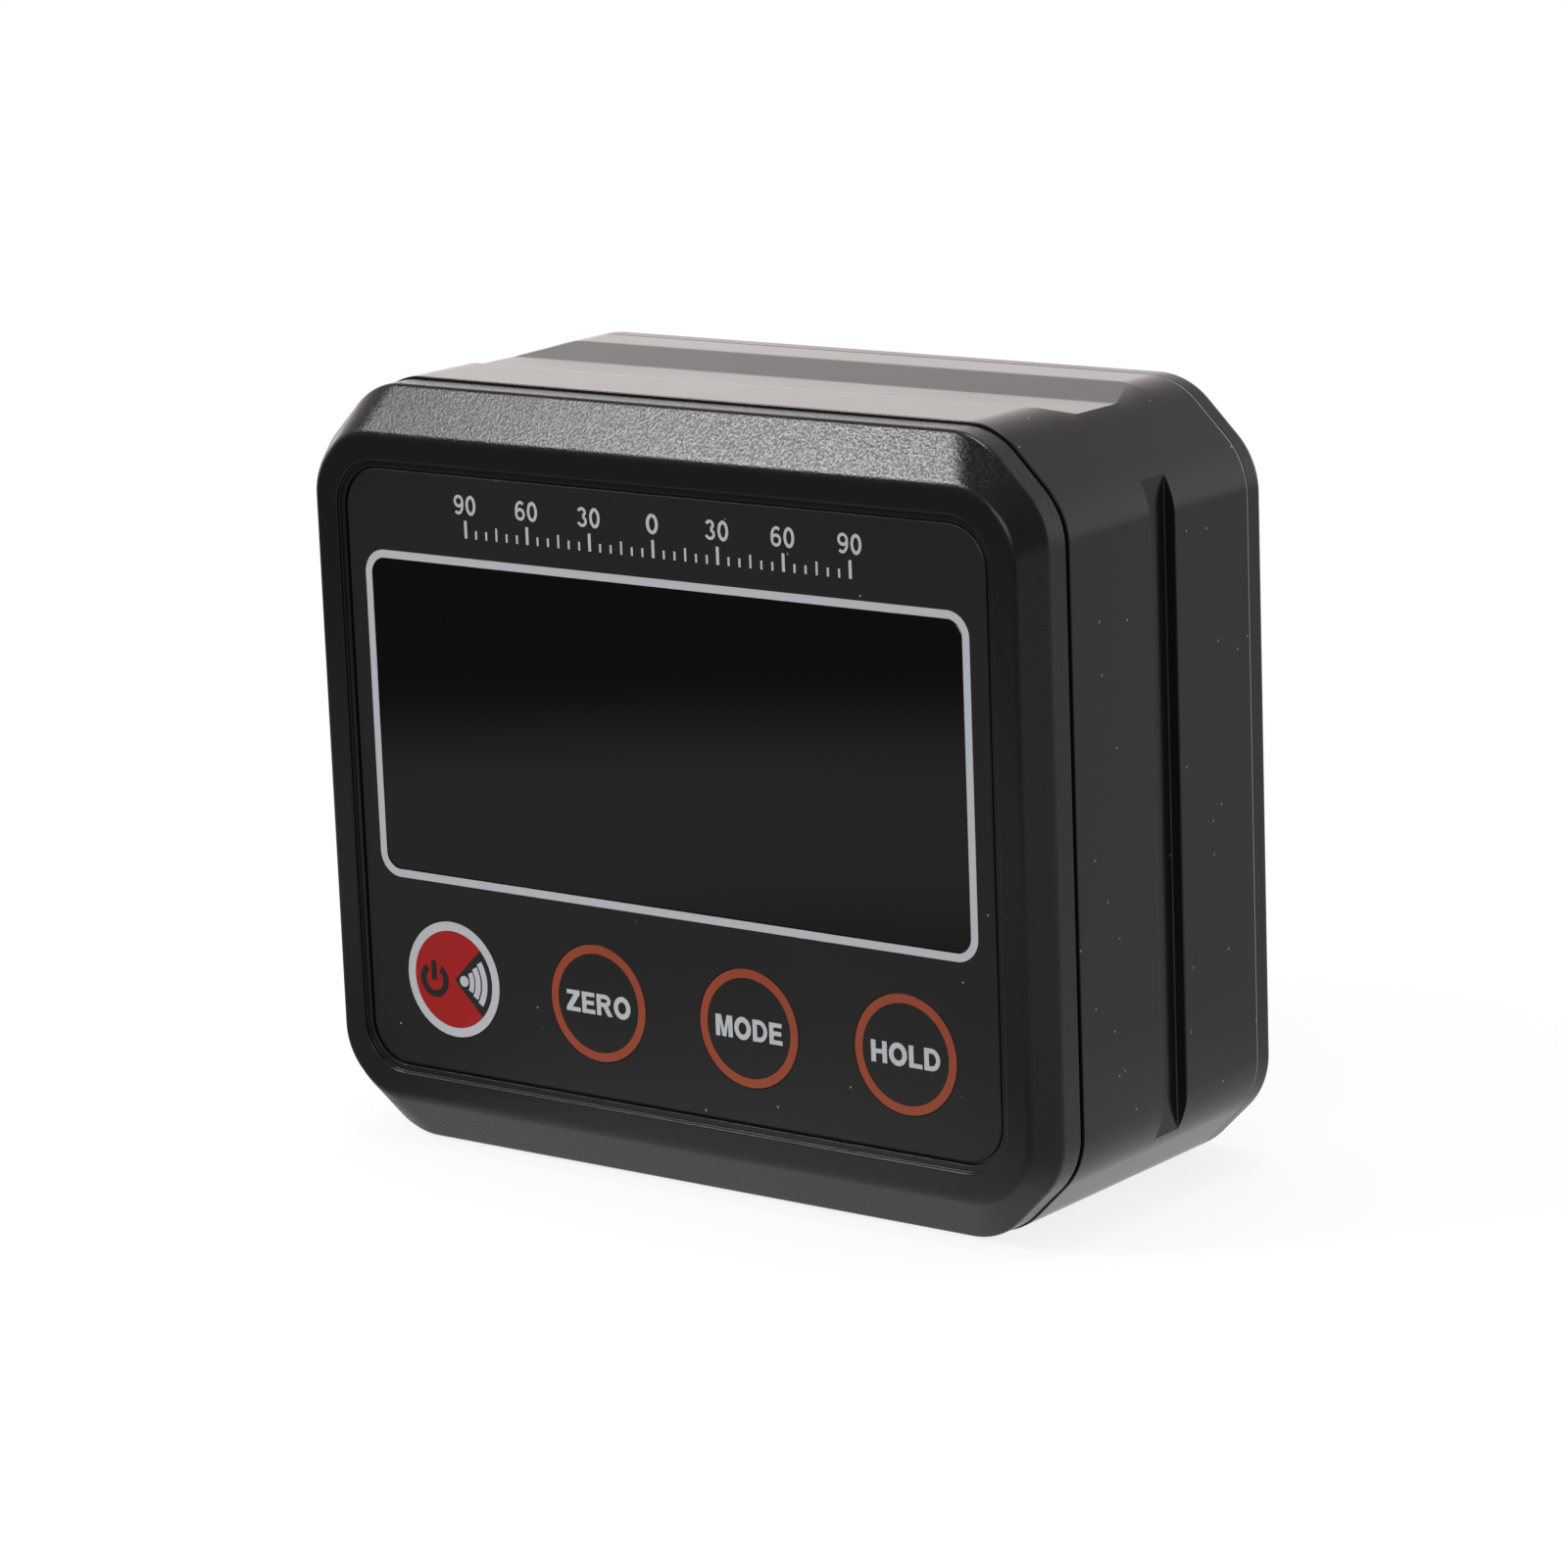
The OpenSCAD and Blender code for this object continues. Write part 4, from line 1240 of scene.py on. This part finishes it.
@dataclass
class BodyShell:
    """Middle shell: a tube with a shallow groove across the top and a slot down each side."""

    case: Case
    groove: tuple[float, float, float, float] = (-4.05, -1.6, 3.4, 8.45)
    groove_depth: float = 0.73
    groove_soft: float = 0.25
    slot: tuple[float, float] = (-0.73, 2.33)
    slot_depth: float = 0.86
    slot_draft: float = 0.06
    slot_soft: float = 0.16
    front_edge: float = 0.1
    rear_edge: float = 0.04
    flat: float = 0.3
    post_hole_r: float = 1.2
    rib: tuple[float, float] = (1.6, 4.6)
    rib_clear: float = 0.5

    def depths(self) -> tuple[Array, Array, Array]:
        """Depth stations with the top height and side half-width at each, corners softened.

        Returns:
            Depths, heights of the top, half-widths between the sides.
        """
        c = self.case
        y0, y1 = c.y_body_front, c.y_body_rear
        g0, g1, g2, g3 = self.groove
        high, low = c.height, c.height - self.groove_depth
        top = [(y0, high), (g0, high), (g1, low), (g2, low), (g3, high), (y1, high)]
        top_line = soft_line(top, self.groove_soft)
        s0, s1, draft = *self.slot, self.slot_draft
        half, deep = c.width / 2, c.width / 2 - self.slot_depth
        side = [(y0, half), (s0 - draft, half), (s0, deep), (s1, deep), (s1 + draft, half), (y1, half)]
        side_line = soft_line(side, self.slot_soft, 4)
        y = np.unique(np.round(np.concatenate([top_line[:, 0], side_line[:, 0]]), 5))
        return y, np.interp(y, *top_line.T), np.interp(y, *side_line.T)

    def outer(self) -> Array:
        """Outer surface: at each depth, the case outline cut off at the top height and the side half-widths.

        The blending arcs end where they meet those limits: at asin((top - cz) / r) above and
        acos((side - cx) / r) beside.

        Returns:
            Grid of shape (depths, ring points, 3).
        """
        c = self.case
        y, top, side = self.depths()
        r, cut = c.corner_r, c.corner_cut
        t = r * TAN_EIGHTH
        a, b = c.width / 2, c.height / 2
        u = np.linspace(0, 1, ARC_STEPS * 2 + 1)
        side_end = np.arccos(np.clip((side - (a - r)) / r, -1, 1))[:, None]
        top_end = np.arcsin(np.clip((top - c.mid_z - (b - r)) / r, -1, 1))[:, None]
        eighth = math.pi / 4
        low_a = side_end + (eighth - side_end) * u
        high_a = eighth + (top_end - eighth) * u
        full_a = eighth + (math.pi / 2 - eighth) * np.broadcast_to(u, high_a.shape)

        def corner(last: Array) -> Array:
            """Points of one corner at every depth. One on each flat beside the two arcs keeps it flat.

            Args:
                last: Angles of the second arc at every depth.

            Returns:
                Array of shape (depths, corner points, 2).
            """
            x = np.concatenate([a - r + r * np.cos(low_a), a - cut - t + r * np.cos(last)], axis=1)
            z = np.concatenate([b - cut - t + r * np.sin(low_a), b - r + r * np.sin(last)], axis=1)
            ring = np.stack([x, z], axis=-1)
            return np.concatenate([ring[:, :1] - [0, self.flat], ring, ring[:, -1:] - [self.flat, 0]], axis=1)

        above, below = corner(high_a), corner(full_a)
        flip_x, flip_z = np.array([-1.0, 1.0]), np.array([1.0, -1.0])
        ring = np.concatenate([above, above[:, ::-1] * flip_x, -below, below[:, ::-1] * flip_z], axis=1)
        grid = np.empty((*ring.shape[:2], 3))
        grid[..., 0] = ring[..., 0]
        grid[..., 1] = y[:, None]
        grid[..., 2] = ring[..., 1] + c.mid_z
        return grid

    def tube(self) -> Patch:
        """Outer surface with softened end edges, and the inner wall, closed into one tube.

        Returns:
            The patch.
        """
        c = self.case
        outer = self.outer()
        centre = np.array([0.0, 0.0, c.mid_z])
        hollow = np.array([1 - 2 * c.wall / c.width, 1.0, 1 - 2 * c.wall / c.height])
        front_in = (outer[0] - centre) * hollow + centre
        rear_in = (outer[-1] - centre) * hollow + centre
        head = soften([front_in, outer[0], outer[1]], [0, self.front_edge, 0], closed=False)
        tail = soften([outer[-2], outer[-1], rear_in], [0, self.rear_edge, 0], closed=False)
        return skin(np.concatenate([head[:-1], outer[1:-1], tail[1:]]), wrap_rows=True)

    def post(self, x: float, z: float) -> list[Patch]:
        """Post for a case screw, with the rib that ties it to the corner.

        Args:
            x: Axis along X.
            z: Axis along Z.

        Returns:
            Its patches.
        """
        c, hole, outer = self.case, self.post_hole_r, self.case.boss_d / 2
        y0, y1 = c.y_boss, c.y_body_rear
        tube = turned([(hole, y0), (outer, y0), (outer, y1), (hole, y1), (hole, y0)], x, z, 32)
        sx, sz = math.copysign(1, x), math.copysign(1, z - c.mid_z)
        along = np.array([sx, sz]) / math.sqrt(2)
        across = np.array([-sz, sx]) / math.sqrt(2)
        start, end = (np.array([x, z]) + along * reach for reach in self.rib)
        half = across * c.boss_d / 4
        rib = np.stack([start - half, end - half, end + half, start + half])
        y2 = y1 - c.tongue_d - self.rib_clear
        return [tube, flat_face(rib, [], y0), flat_face(rib, [], y2), wall(rib, [y0, y2])]

    def build(self) -> None:
        """Builds the shell as one piece."""
        patches = [self.tube()]
        for x, z in self.case.screw_places():
            patches += self.post(x, z)
        seat(to_mesh("body_shell", patches, 14.0), Finish.SATIN_ABS, Body.CASE, "body_housing")


@dataclass
class RearCover:
    """Rear shell: bevelled edge, screw wells, finger scoop, and the battery compartment behind its door."""

    case: Case
    bevel_in: float = 3.0
    lip_in: float = 3.05
    y_back: float = 14.2
    y_door: float = 14.4
    y_floor: float = 3.3
    seat_half: tuple[float, float] = (26.15, 12.25)
    box_half: tuple[float, float] = (24.95, 11.05)
    box_wall: float = 1.8
    inner_r: float = 0.3
    well_r: float = 2.3
    well_y: float = 14.0
    well_wall: float = 0.6
    well_lap: float = 0.02
    well_rise: float = 0.15
    hole_r: float = 1.2
    parting_in: tuple[float, float] = (0.02, 0.4)
    parting_y: tuple[float, float] = (-0.05, 0.18)
    parting_soft: float = 0.05
    scoop_half: float = 7.0
    scoop_r: float = 4.0
    scoop_deep: float = 1.2
    scoop_sunk: float = 0.1
    scoop_lap: float = 0.02
    scoop_side_lap: float = 0.03
    notch_lap: float = 0.5
    pocket_x: float = 15.0
    pocket_half: float = 3.3
    pocket_z: tuple[float, float] = (16.15, 19.3)
    pocket_y: tuple[float, float] = (15.25, 13.55)

    def edge(self) -> Patch:
        """Edge of the shell as one profile carried round the case: rear face, bevel, band and tongue.

        Returns:
            The patch.
        """
        c = self.case
        y_tip = c.y_body_rear - c.tongue_d
        stations = [
            (self.lip_in, c.y_rear, 0.0),
            (self.bevel_in, c.y_rear, 0.04),
            (0.0, c.y_bevel, 0.3),
            (0.0, c.y_body_rear, 0.2),
            (c.tongue_in, c.y_body_rear, 0.0),
            (c.tongue_in, y_tip, 0.1),
            (self.lip_in, y_tip, 0.1),
            (self.lip_in, self.y_back, 0.0),
        ]
        return swept([(c.ring(inset), y, soft) for inset, y, soft in stations], closed=False)

    def parting_line(self) -> Patch:
        """Trimmed parting line in front of the band, painted pale as the seam's highlight: a small closed
        profile carried round the case.

        Returns:
            The patch.
        """
        outer, inner = (self.case.ring(inset) for inset in self.parting_in)
        y0, y1 = (self.case.y_body_rear + y for y in self.parting_y)
        corners = ((outer, y0), (outer, y1), (inner, y1), (inner, y0))
        return swept([(ring, y, self.parting_soft) for ring, y in corners], closed=True, steps=3)

    def scoop_line(self) -> Array:
        """Depth and height of the scoop: a circle's arc from the edge of the door to the rear face.

        Returns:
            Points as (depth, height).
        """
        y_axis = self.case.y_rear + self.scoop_r - self.scoop_deep
        reach = math.degrees(math.acos((y_axis - self.case.y_rear) / self.scoop_r))
        return arc(y_axis, self.case.mid_z + self.seat_half[1], self.scoop_r, 180, 180 - reach, 14)

    def scoop(self) -> Patch:
        """Floor of the scoop: a prism under its arc, sunk a little into the plate.

        Returns:
            The patch.
        """
        line, sunk = self.scoop_line(), self.scoop_sunk
        (y_low, z_low), (y_high, z_high) = line[0], line[-1]
        z_top, y_in = z_high + sunk, y_low - sunk
        below = [[y_high - sunk, z_top], [y_in, z_top], [y_in, z_low + self.scoop_lap]]
        ring = np.concatenate([line, below])
        n = len(ring)
        grid = np.empty((2, n, 3))
        grid[..., 0] = np.array([[-1.0], [1.0]]) * (self.scoop_half + self.scoop_side_lap)
        grid[..., 1:] = ring
        sides = skin(grid)
        return Patch(sides.points, sides.faces + [list(range(n)), list(range(n, 2 * n))])

    def plate(self) -> Patch:
        """Rear plate and battery box as slabs: door seat, scoop, hinge pockets and screw wells left open.

        Returns:
            The patch.
        """
        c, line = self.case, self.scoop_line()
        mid, (w, h), t = c.mid_z, self.box_half, self.box_wall
        rings = [
            round_ring(*self.seat_half, self.inner_r, mid),
            rectangle(-self.scoop_half, self.scoop_half, line[0, 1] - self.notch_lap, line[-1, 1]),
            *(rectangle(x - self.pocket_half, x + self.pocket_half, *self.pocket_z) for x in self.pockets()),
            round_ring(w, h, self.inner_r, mid),
            round_ring(w + t, h + t, self.inner_r, mid),
            *(circle_ring(x, z, self.well_r, 48) for x, z in c.screw_places()),
        ]
        door, notch, pockets, box, outside, wells = [1], [2], [3, 4], [5], [6], [7, 8, 9, 10]
        slabs = [
            (c.y_rear, [0], door + notch + wells),
            (self.pocket_y[0], [0], door + notch + wells + pockets),
            (line[0, 0], [0], door + wells + pockets),
            (self.y_door, [0], box + wells + pockets),
            (self.y_back, outside, box + pockets),
            (self.pocket_y[1], outside, box),
            (self.y_floor, outside, []),
        ]
        return terraces(c.ring(self.lip_in), rings, slabs, self.y_floor - t)

    def pockets(self) -> tuple[float, float]:
        """Middles of the two hinge pockets along X."""
        return self.pocket_x, -self.pocket_x

    def well(self) -> Line:
        """Profile of a screw well as (radius, depth), closed: hole, boss and seat of the head.

        Returns:
            The profile.
        """
        hole, boss, deep = self.hole_r, self.well_r + self.well_wall, self.well_r + self.well_lap
        y0, y1, y_seat = self.case.y_body_rear, self.y_back + self.well_rise, self.well_y
        return [(hole, y0), (boss, y0), (boss, y1), (deep, y1), (deep, y_seat), (hole, y_seat), (hole, y0)]

    def build(self) -> None:
        """Builds the cover, and its parting line painted pale as the seam's highlight."""
        patches = [self.edge(), self.plate(), self.scoop()]
        patches += [turned(self.well(), x, z, 48) for x, z in self.case.screw_places()]
        seat(to_mesh("cover_shell", patches, 25.0), Finish.FINE_SPARK_ABS, Body.CASE, "rear_cover")
        # The parting line's pale grey finish is a painted highlight along the seam.
        seat(to_mesh("cover_parting_line_highlight", [self.parting_line()]), Finish.TRIMMED_ABS, Body.CASE)


@dataclass
class BatteryDoor:
    """Door of the battery compartment: softened plate with grip grooves and two hinge tabs."""

    case: Case
    half: tuple[float, float] = (25.95, 12.05)
    corner_r: float = 0.3
    y_door: float = 14.4
    face_in: float = 0.6
    soft: float = 0.22
    grip_half: float = 8.0
    grip_pitch: float = 1.6
    grip_r: float = 0.3
    grip_deep: float = 0.4
    grip_first: int = 3
    grip_count: int = 5
    tab_x: float = 15.0
    tab_half: float = 3.0
    tab_l: float = 1.3
    tab_t: float = 0.7
    tab_gap: float = 0.02
    tab_lap: float = 0.4

    def build(self) -> None:
        """Builds the door as one piece."""
        c, (w, h), less = self.case, self.half, self.face_in
        rim = round_ring(w, h, self.corner_r, c.mid_z)
        top = round_ring(w - less, h - less, self.corner_r, c.mid_z)
        side = swept([(top, c.y_rear, 0), (rim, c.y_rear, self.soft), (rim, self.y_door, 0)], closed=False)
        grip_top = c.mid_z + h - self.grip_first * self.grip_pitch
        heights = [grip_top - i * self.grip_pitch for i in range(self.grip_count)]
        grips = [round_ring(self.grip_half, self.grip_pitch / 4, self.grip_r, z) for z in heights]
        y_grip = c.y_rear - self.grip_deep
        patches = [side, flat_face(top, grips, c.y_rear), flat_face(rim, [], self.y_door)]
        for ring in grips:
            patches += [wall(ring, [c.y_rear, y_grip]), flat_face(ring, [], y_grip)]
        y0, y1 = self.y_door + self.tab_gap, self.y_door + self.tab_t
        z0, z1 = c.mid_z - h - self.tab_l, c.mid_z - h + self.tab_lap
        for x in (-self.tab_x, self.tab_x):
            patches.append(block((x - self.tab_half, y0, z0), (x + self.tab_half, y1, z1)))
        seat(to_mesh("door_plate", patches, 25.0), Finish.FINE_SPARK_ABS, Body.DOOR, "battery_door")


@dataclass
class CaseScrews:
    """Case screws: softened pan heads with a cross recess, and plain shanks."""

    case: Case
    head_r: float = 2.0
    face_in: float = 0.3
    crown: float = 0.12
    soft: float = 0.2
    shank_r: float = 1.1
    y_seat: float = 14.0
    head_t: float = 1.4
    y_tip: float = -13.6
    cross_l: float = 1.15
    cross_w: float = 0.28
    cross_deep: float = 0.8

    def screw(self, x: float, z: float) -> list[Patch]:
        """One screw: a turned head and shank, and a cross of one arm turned by quarters.

        Args:
            x: Axis along X.
            z: Axis along Z.

        Returns:
            Its patches.
        """
        a, b = self.cross_l, self.cross_w
        arm = np.array([[a, -b], [a, b], [b, b]])
        quarter = np.array([[0.0, 1.0], [-1.0, 0.0]])
        cross = np.concatenate([arm @ np.linalg.matrix_power(quarter, k) for k in range(4)]) + [x, z]
        y_top, face_r = self.y_seat + self.head_t, self.head_r - self.face_in
        rim = [(face_r, y_top), (self.head_r, y_top - self.crown), (self.head_r, self.y_seat)]
        shank = [(self.shank_r, self.y_seat), (self.shank_r, self.y_tip), (0.0, self.y_tip)]
        y_low = y_top - self.cross_deep
        return [
            turned([*soft_line(rim, self.soft, 4), *shank], x, z, 48),
            flat_face(circle_ring(x, z, face_r, 48), [cross], y_top),
            wall(cross, [y_top, y_low]),
            flat_face(cross, [], y_low),
        ]

    def build(self) -> None:
        """Builds the four screws as one piece."""
        patches = [patch for x, z in self.case.screw_places() for patch in self.screw(x, z)]
        seat(to_mesh("pan_head_screws", patches), Finish.ZINC_STEEL, Body.CASE, "case_screws")


@dataclass
class BatteryCell:
    """Cell along X: a plain shrink sleeve folded over both ends, and bare steel caps sunk in the folds.

    nub_side is 1 where the nub looks along +X and -1 where it looks along -X.
    """

    node: str
    nub_side: int
    nub_r: float = 1.9
    nub_l: float = 1.0
    nub_soft: float = 0.25
    fold: float = 1.5
    fold_soft: float = 0.45
    sunk: float = 0.2
    cap_t: float = 0.4

    def corners(self) -> tuple[Array, Array]:
        """Lowest and highest corner of the CAD cell."""
        low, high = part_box(self.node)
        return np.array(low) / MM, np.array(high) / MM

    def lathe(self, line: Line) -> Patch:
        """Turns a closed line about the cell's own axis.

        Args:
            line: (radius, distance from the negative end) pairs.

        Returns:
            The patch.
        """
        low, high = self.corners()
        middle = (low + high) / 2
        start = low[0] if self.nub_side > 0 else high[0]
        profile = [(r, start + self.nub_side * a) for r, a in [*line, line[0]]]
        along_y = turned(profile, middle[1], middle[2])
        return Patch(along_y.points[:, [1, 0, 2]], along_y.faces)

    def build(self) -> None:
        """Builds the sleeve and the caps."""
        low, high = self.corners()
        outer = (high[2] - low[2]) / 2
        inner, end, sunk = outer - self.fold, high[0] - low[0], self.sunk
        can = end - self.nub_l
        rim = [(inner, sunk), (inner, 0), (outer, 0), (outer, can), (inner, can), (inner, can - sunk)]
        sleeve = self.lathe([*soft_line(rim, self.fold_soft)])
        seat(to_mesh(f"{self.node}_sleeve", [sleeve]), Finish.CELL_SLEEVE, Body.CASE, self.node)
        base = [(0, sunk), (inner, sunk), (inner, sunk + self.cap_t), (0, sunk + self.cap_t)]
        shoulder = can - sunk
        nub = [(0, end), (self.nub_r, end), (self.nub_r, shoulder), (inner, shoulder)]
        below = [(inner, shoulder - self.cap_t), (0, shoulder - self.cap_t)]
        caps = [self.lathe(base), self.lathe([*soft_line(nub, self.nub_soft), *below])]
        seat(to_mesh(f"{self.node}_caps", caps), Finish.NICKEL, Body.CASE)


@dataclass
class CarriedNodes:
    """CAD nodes that keep their own solids, by finish."""

    finishes: dict[Finish, tuple[str, ...]] = field(
        default_factory=lambda: {
            Finish.LCD_GLASS: ("lcd_panel",),
            Finish.LIGHT_GUIDE: ("lcd_backlight",),
            Finish.SILICONE: ("lcd_contact_strip",),
            Finish.SOLDER_MASK: ("main_board",),
            Finish.MOULDED_EPOXY: (
                "tilt_sensor",
                "controller_chip",
                "sounder",
                "power_switch",
                "zero_switch",
                "mode_switch",
                "hold_switch",
            ),
            Finish.NICKEL: (
                "bridge_contact",
                "bridge_spring",
                "negative_contact",
                "negative_spring",
                "positive_contact",
                "left_magnet",
                "right_magnet",
            ),
            Finish.ZINC_STEEL: ("board_screws",),
        }
    )

    def build(self, nodes: dict[str, Object]) -> None:
        """Dresses each node.

        Args:
            nodes: The frame's nodes by name.
        """
        for finish, names in self.finishes.items():
            for name in names:
                dress(nodes[name], finish)
                LOG.info("%s dressed", name)


@dataclass(frozen=True)
class Lamp:
    """A rectangular soft lamp: its middle and its size in metres, and its power in watts."""

    name: str
    place: Place
    size: tuple[float, float]
    watts: float

    def build(self, aim: Place) -> None:
        """Adds the lamp, pointed at a place in metres.

        Args:
            aim: The place.
        """
        data = bpy.data.lights.new(self.name, "AREA")
        data.shape = "RECTANGLE"
        data.size, data.size_y = self.size
        data.energy = self.watts
        lamp = bpy.data.objects.new(self.name, data)
        lamp.location = self.place
        lamp.rotation_euler = (Vector(self.place) - Vector(aim)).to_track_quat("Z", "Y").to_euler()
        bpy.context.scene.collection.objects.link(lamp)


@dataclass
class Studio:
    """Camera, lamps, floor and surroundings. clip_start, aim and the lamps are in metres.

    A ramp gives where it begins and ends, and its values there. Those of the floor run over the distance in
    metres from the middle, apart from rear_part, which runs over the way to the rear.
    """

    camera_mm: Place = (251.446, -328.483, 123.368)
    azimuth: float = 37.5037
    elevation: float = 12.9118
    roll: float = -2.1535
    lens: float = 127.443
    sensor: float = 36.0
    clip_start: float = 0.01
    floor_half: float = 900.0
    floor_z: float = -0.02
    beside: tuple[float, ...] = (0.030, 0.048, 0.68, 0.21)
    middle: tuple[float, ...] = (0.075, 0.115, 1.0, 1.85)
    beyond: tuple[float, ...] = (0.150, 0.205, 1.0, 0.2)
    rear: tuple[float, ...] = (0.032, 0.08, 0.75, 0.46)
    away_part: tuple[float, ...] = (0.06, 0.16, 0.0, 1.0)
    rear_part: tuple[float, ...] = (-0.02, 0.06, 0.0, 1.0)
    shadow: tuple[float, ...] = (0.0, 1.0, 0.84, 1.0)
    backdrop_part: tuple[float, ...] = (0.0, 0.6, 0.0, 1.0)
    backdrop_rise: tuple[float, ...] = (0.16, 0.62, 1.0, 0.15)
    backdrop_light: tuple[float, ...] = (0.0, 1.0, 0.15, 1.5)
    room_light: float = 0.7
    aim: Place = (0.0, 0.0, 0.03)
    lamps: tuple[Lamp, ...] = (
        Lamp("key_softbox", (-0.285, -0.30, 0.383), (0.14, 0.13), 1.2),
        Lamp("top_softbox", (0.0, 0.05, 0.62), (0.26, 0.26), 1.2),
        Lamp("fill_softbox", (0.22, -0.58, 0.34), (0.40, 0.30), 0.8),
    )

    def build_camera(self) -> None:
        """Camera on the right front, looking back along its azimuth and down by its elevation."""
        az, el, roll = (math.radians(v) for v in (self.azimuth, self.elevation, self.roll))
        ahead = Vector((-math.sin(az) * math.cos(el), math.cos(az) * math.cos(el), -math.sin(el)))
        level = ahead.cross(Vector((0, 0, 1))).normalized()
        upright = level.cross(ahead)
        right = level * math.cos(roll) + upright * math.sin(roll)
        up = right.cross(ahead)
        turn = Matrix((right, up, -ahead)).transposed().to_4x4()
        data = bpy.data.cameras.new("photo_camera")
        data.lens = self.lens
        data.sensor_width = self.sensor
        data.clip_start = self.clip_start
        camera = bpy.data.objects.new("photo_camera", data)
        camera.matrix_world = Matrix.Translation(Vector(self.camera_mm) * MM) @ turn
        bpy.context.scene.collection.objects.link(camera)
        bpy.context.scene.camera = camera

    def table(self) -> Material:
        """White to the camera with the gauge's soft shadow, a lit white table to all other rays.

        Returns:
            The floor's material.
        """
        mat = bpy.data.materials.new("white_table")
        tree = bare_tree(mat)
        soft = {"interpolation_type": "SMOOTHSTEP"}
        coord = add(tree, "ShaderNodeTexCoord").outputs["Object"]
        away = add(tree, "ShaderNodeVectorMath", {0: coord}, operation="LENGTH").outputs["Value"]
        beside, middle, beyond, rear, far = (
            add(tree, "ShaderNodeMapRange", dict(enumerate((away, *ramp))), **soft).outputs[0]
            for ramp in (self.beside, self.middle, self.beyond, self.rear, self.away_part)
        )
        near = add(tree, "ShaderNodeMath", {0: beside, 1: middle}, operation="MULTIPLY").outputs[0]
        front = add(tree, "ShaderNodeMath", {0: near, 1: beyond}, operation="MULTIPLY").outputs[0]
        az = math.radians(self.azimuth)
        rear_right = {0: coord, 1: (math.sin(az), math.cos(az), 0.0)}
        along = add(tree, "ShaderNodeVectorMath", rear_right, operation="DOT_PRODUCT").outputs["Value"]
        toward = dict(enumerate((along, *self.rear_part)))
        part = add(tree, "ShaderNodeMapRange", toward, **soft).outputs[0]
        level = add(tree, "ShaderNodeMix", {0: part, 2: front, 3: rear}).outputs[0]
        glow = add(tree, "ShaderNodeEmission", {"Color": linear("#fffdfc"), "Strength": level}).outputs[0]
        lit = add(tree, "ShaderNodeBsdfDiffuse", {"Color": linear("#fbfbfb")}).outputs[0]
        white = add(tree, "ShaderNodeEmission", {"Color": linear("#ffffff"), "Strength": 1.0}).outputs[0]
        paler = dict(enumerate((far, *self.shadow)))
        blend = add(tree, "ShaderNodeMapRange", paler, **soft).outputs[0]
        seen = add(tree, "ShaderNodeMixShader", {0: blend, 1: lit, 2: white}).outputs[0]
        ray = add(tree, "ShaderNodeLightPath").outputs["Is Camera Ray"]
        both = add(tree, "ShaderNodeMixShader", {0: ray, 1: glow, 2: seen}).outputs[0]
        add(tree, "ShaderNodeOutputMaterial", {"Surface": both})
        return mat

    def build_floor(self) -> None:
        """Pale floor just below the gauge."""
        r = self.floor_half
        grid = np.insert(rectangle(-r, r, -r, r), 2, self.floor_z, axis=1)
        floor = to_mesh("floor", [Patch(grid, [[0, 1, 2, 3]])])
        floor.data.materials.append(self.table())

    def build_world(self) -> None:
        """White backdrop behind the gauge for the camera, gloss and glass, in a dim even room."""
        world = bpy.data.worlds.new("studio_world")
        tree = bare_tree(world)
        aim = add(tree, "ShaderNodeTexCoord").outputs["Generated"]
        az = math.radians(self.azimuth)
        behind = {0: aim, 1: (-math.sin(az), math.cos(az), 0.0)}
        facing = add(tree, "ShaderNodeVectorMath", behind, operation="DOT_PRODUCT").outputs["Value"]
        turned_to = dict(enumerate((facing, *self.backdrop_part)))
        side = add(tree, "ShaderNodeMapRange", turned_to, interpolation_type="SMOOTHSTEP").outputs[0]
        rise = add(tree, "ShaderNodeSeparateXYZ", {0: aim}).outputs["Z"]
        height = add(tree, "ShaderNodeMapRange", dict(enumerate((rise, *self.backdrop_rise)))).outputs[0]
        panel = add(tree, "ShaderNodeMath", {0: side, 1: height}, operation="MULTIPLY").outputs[0]
        room = add(tree, "ShaderNodeMapRange", dict(enumerate((panel, *self.backdrop_light)))).outputs[0]
        ray = add(tree, "ShaderNodeLightPath").outputs
        either = {0: ray["Is Glossy Ray"], 1: ray["Is Transmission Ray"]}
        mirrored = add(tree, "ShaderNodeMath", either, operation="MAXIMUM").outputs[0]
        soft, shown, white = (
            add(tree, "ShaderNodeBackground", {"Color": linear(colour), "Strength": strength}).outputs[0]
            for colour, strength in (("#ffffff", self.room_light), ("#fff7f6", room), ("#ffffff", 1.0))
        )
        gloss = add(tree, "ShaderNodeMixShader", {0: mirrored, 1: soft, 2: shown}).outputs[0]
        whole = add(tree, "ShaderNodeMixShader", {0: ray["Is Camera Ray"], 1: gloss, 2: white}).outputs[0]
        add(tree, "ShaderNodeOutputWorld", {"Surface": whole})
        bpy.context.scene.world = world

    def build(self) -> None:
        """Builds the studio."""
        self.build_camera()
        self.build_floor()
        self.build_world()
        for lamp in self.lamps:
            lamp.build(self.aim)
        bpy.context.scene.view_settings.view_transform = "Standard"


def main() -> None:
    """Loads the frame and builds the studio and each sub-assembly on it."""
    logging.basicConfig(level=logging.INFO, format="%(name)s: %(message)s")
    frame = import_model()
    case = Case()
    face = Face(case)
    Studio().build()
    Bezel(case, face).build()
    BodyShell(case).build()
    RearCover(case).build()
    BatteryDoor(case).build()
    CaseScrews(case).build()
    BatteryCell("upper_cell", nub_side=-1).build()
    BatteryCell("lower_cell", nub_side=1).build()
    face.build()
    CarriedNodes().build(frame["nodes"])


if __name__ == "__main__":
    main()
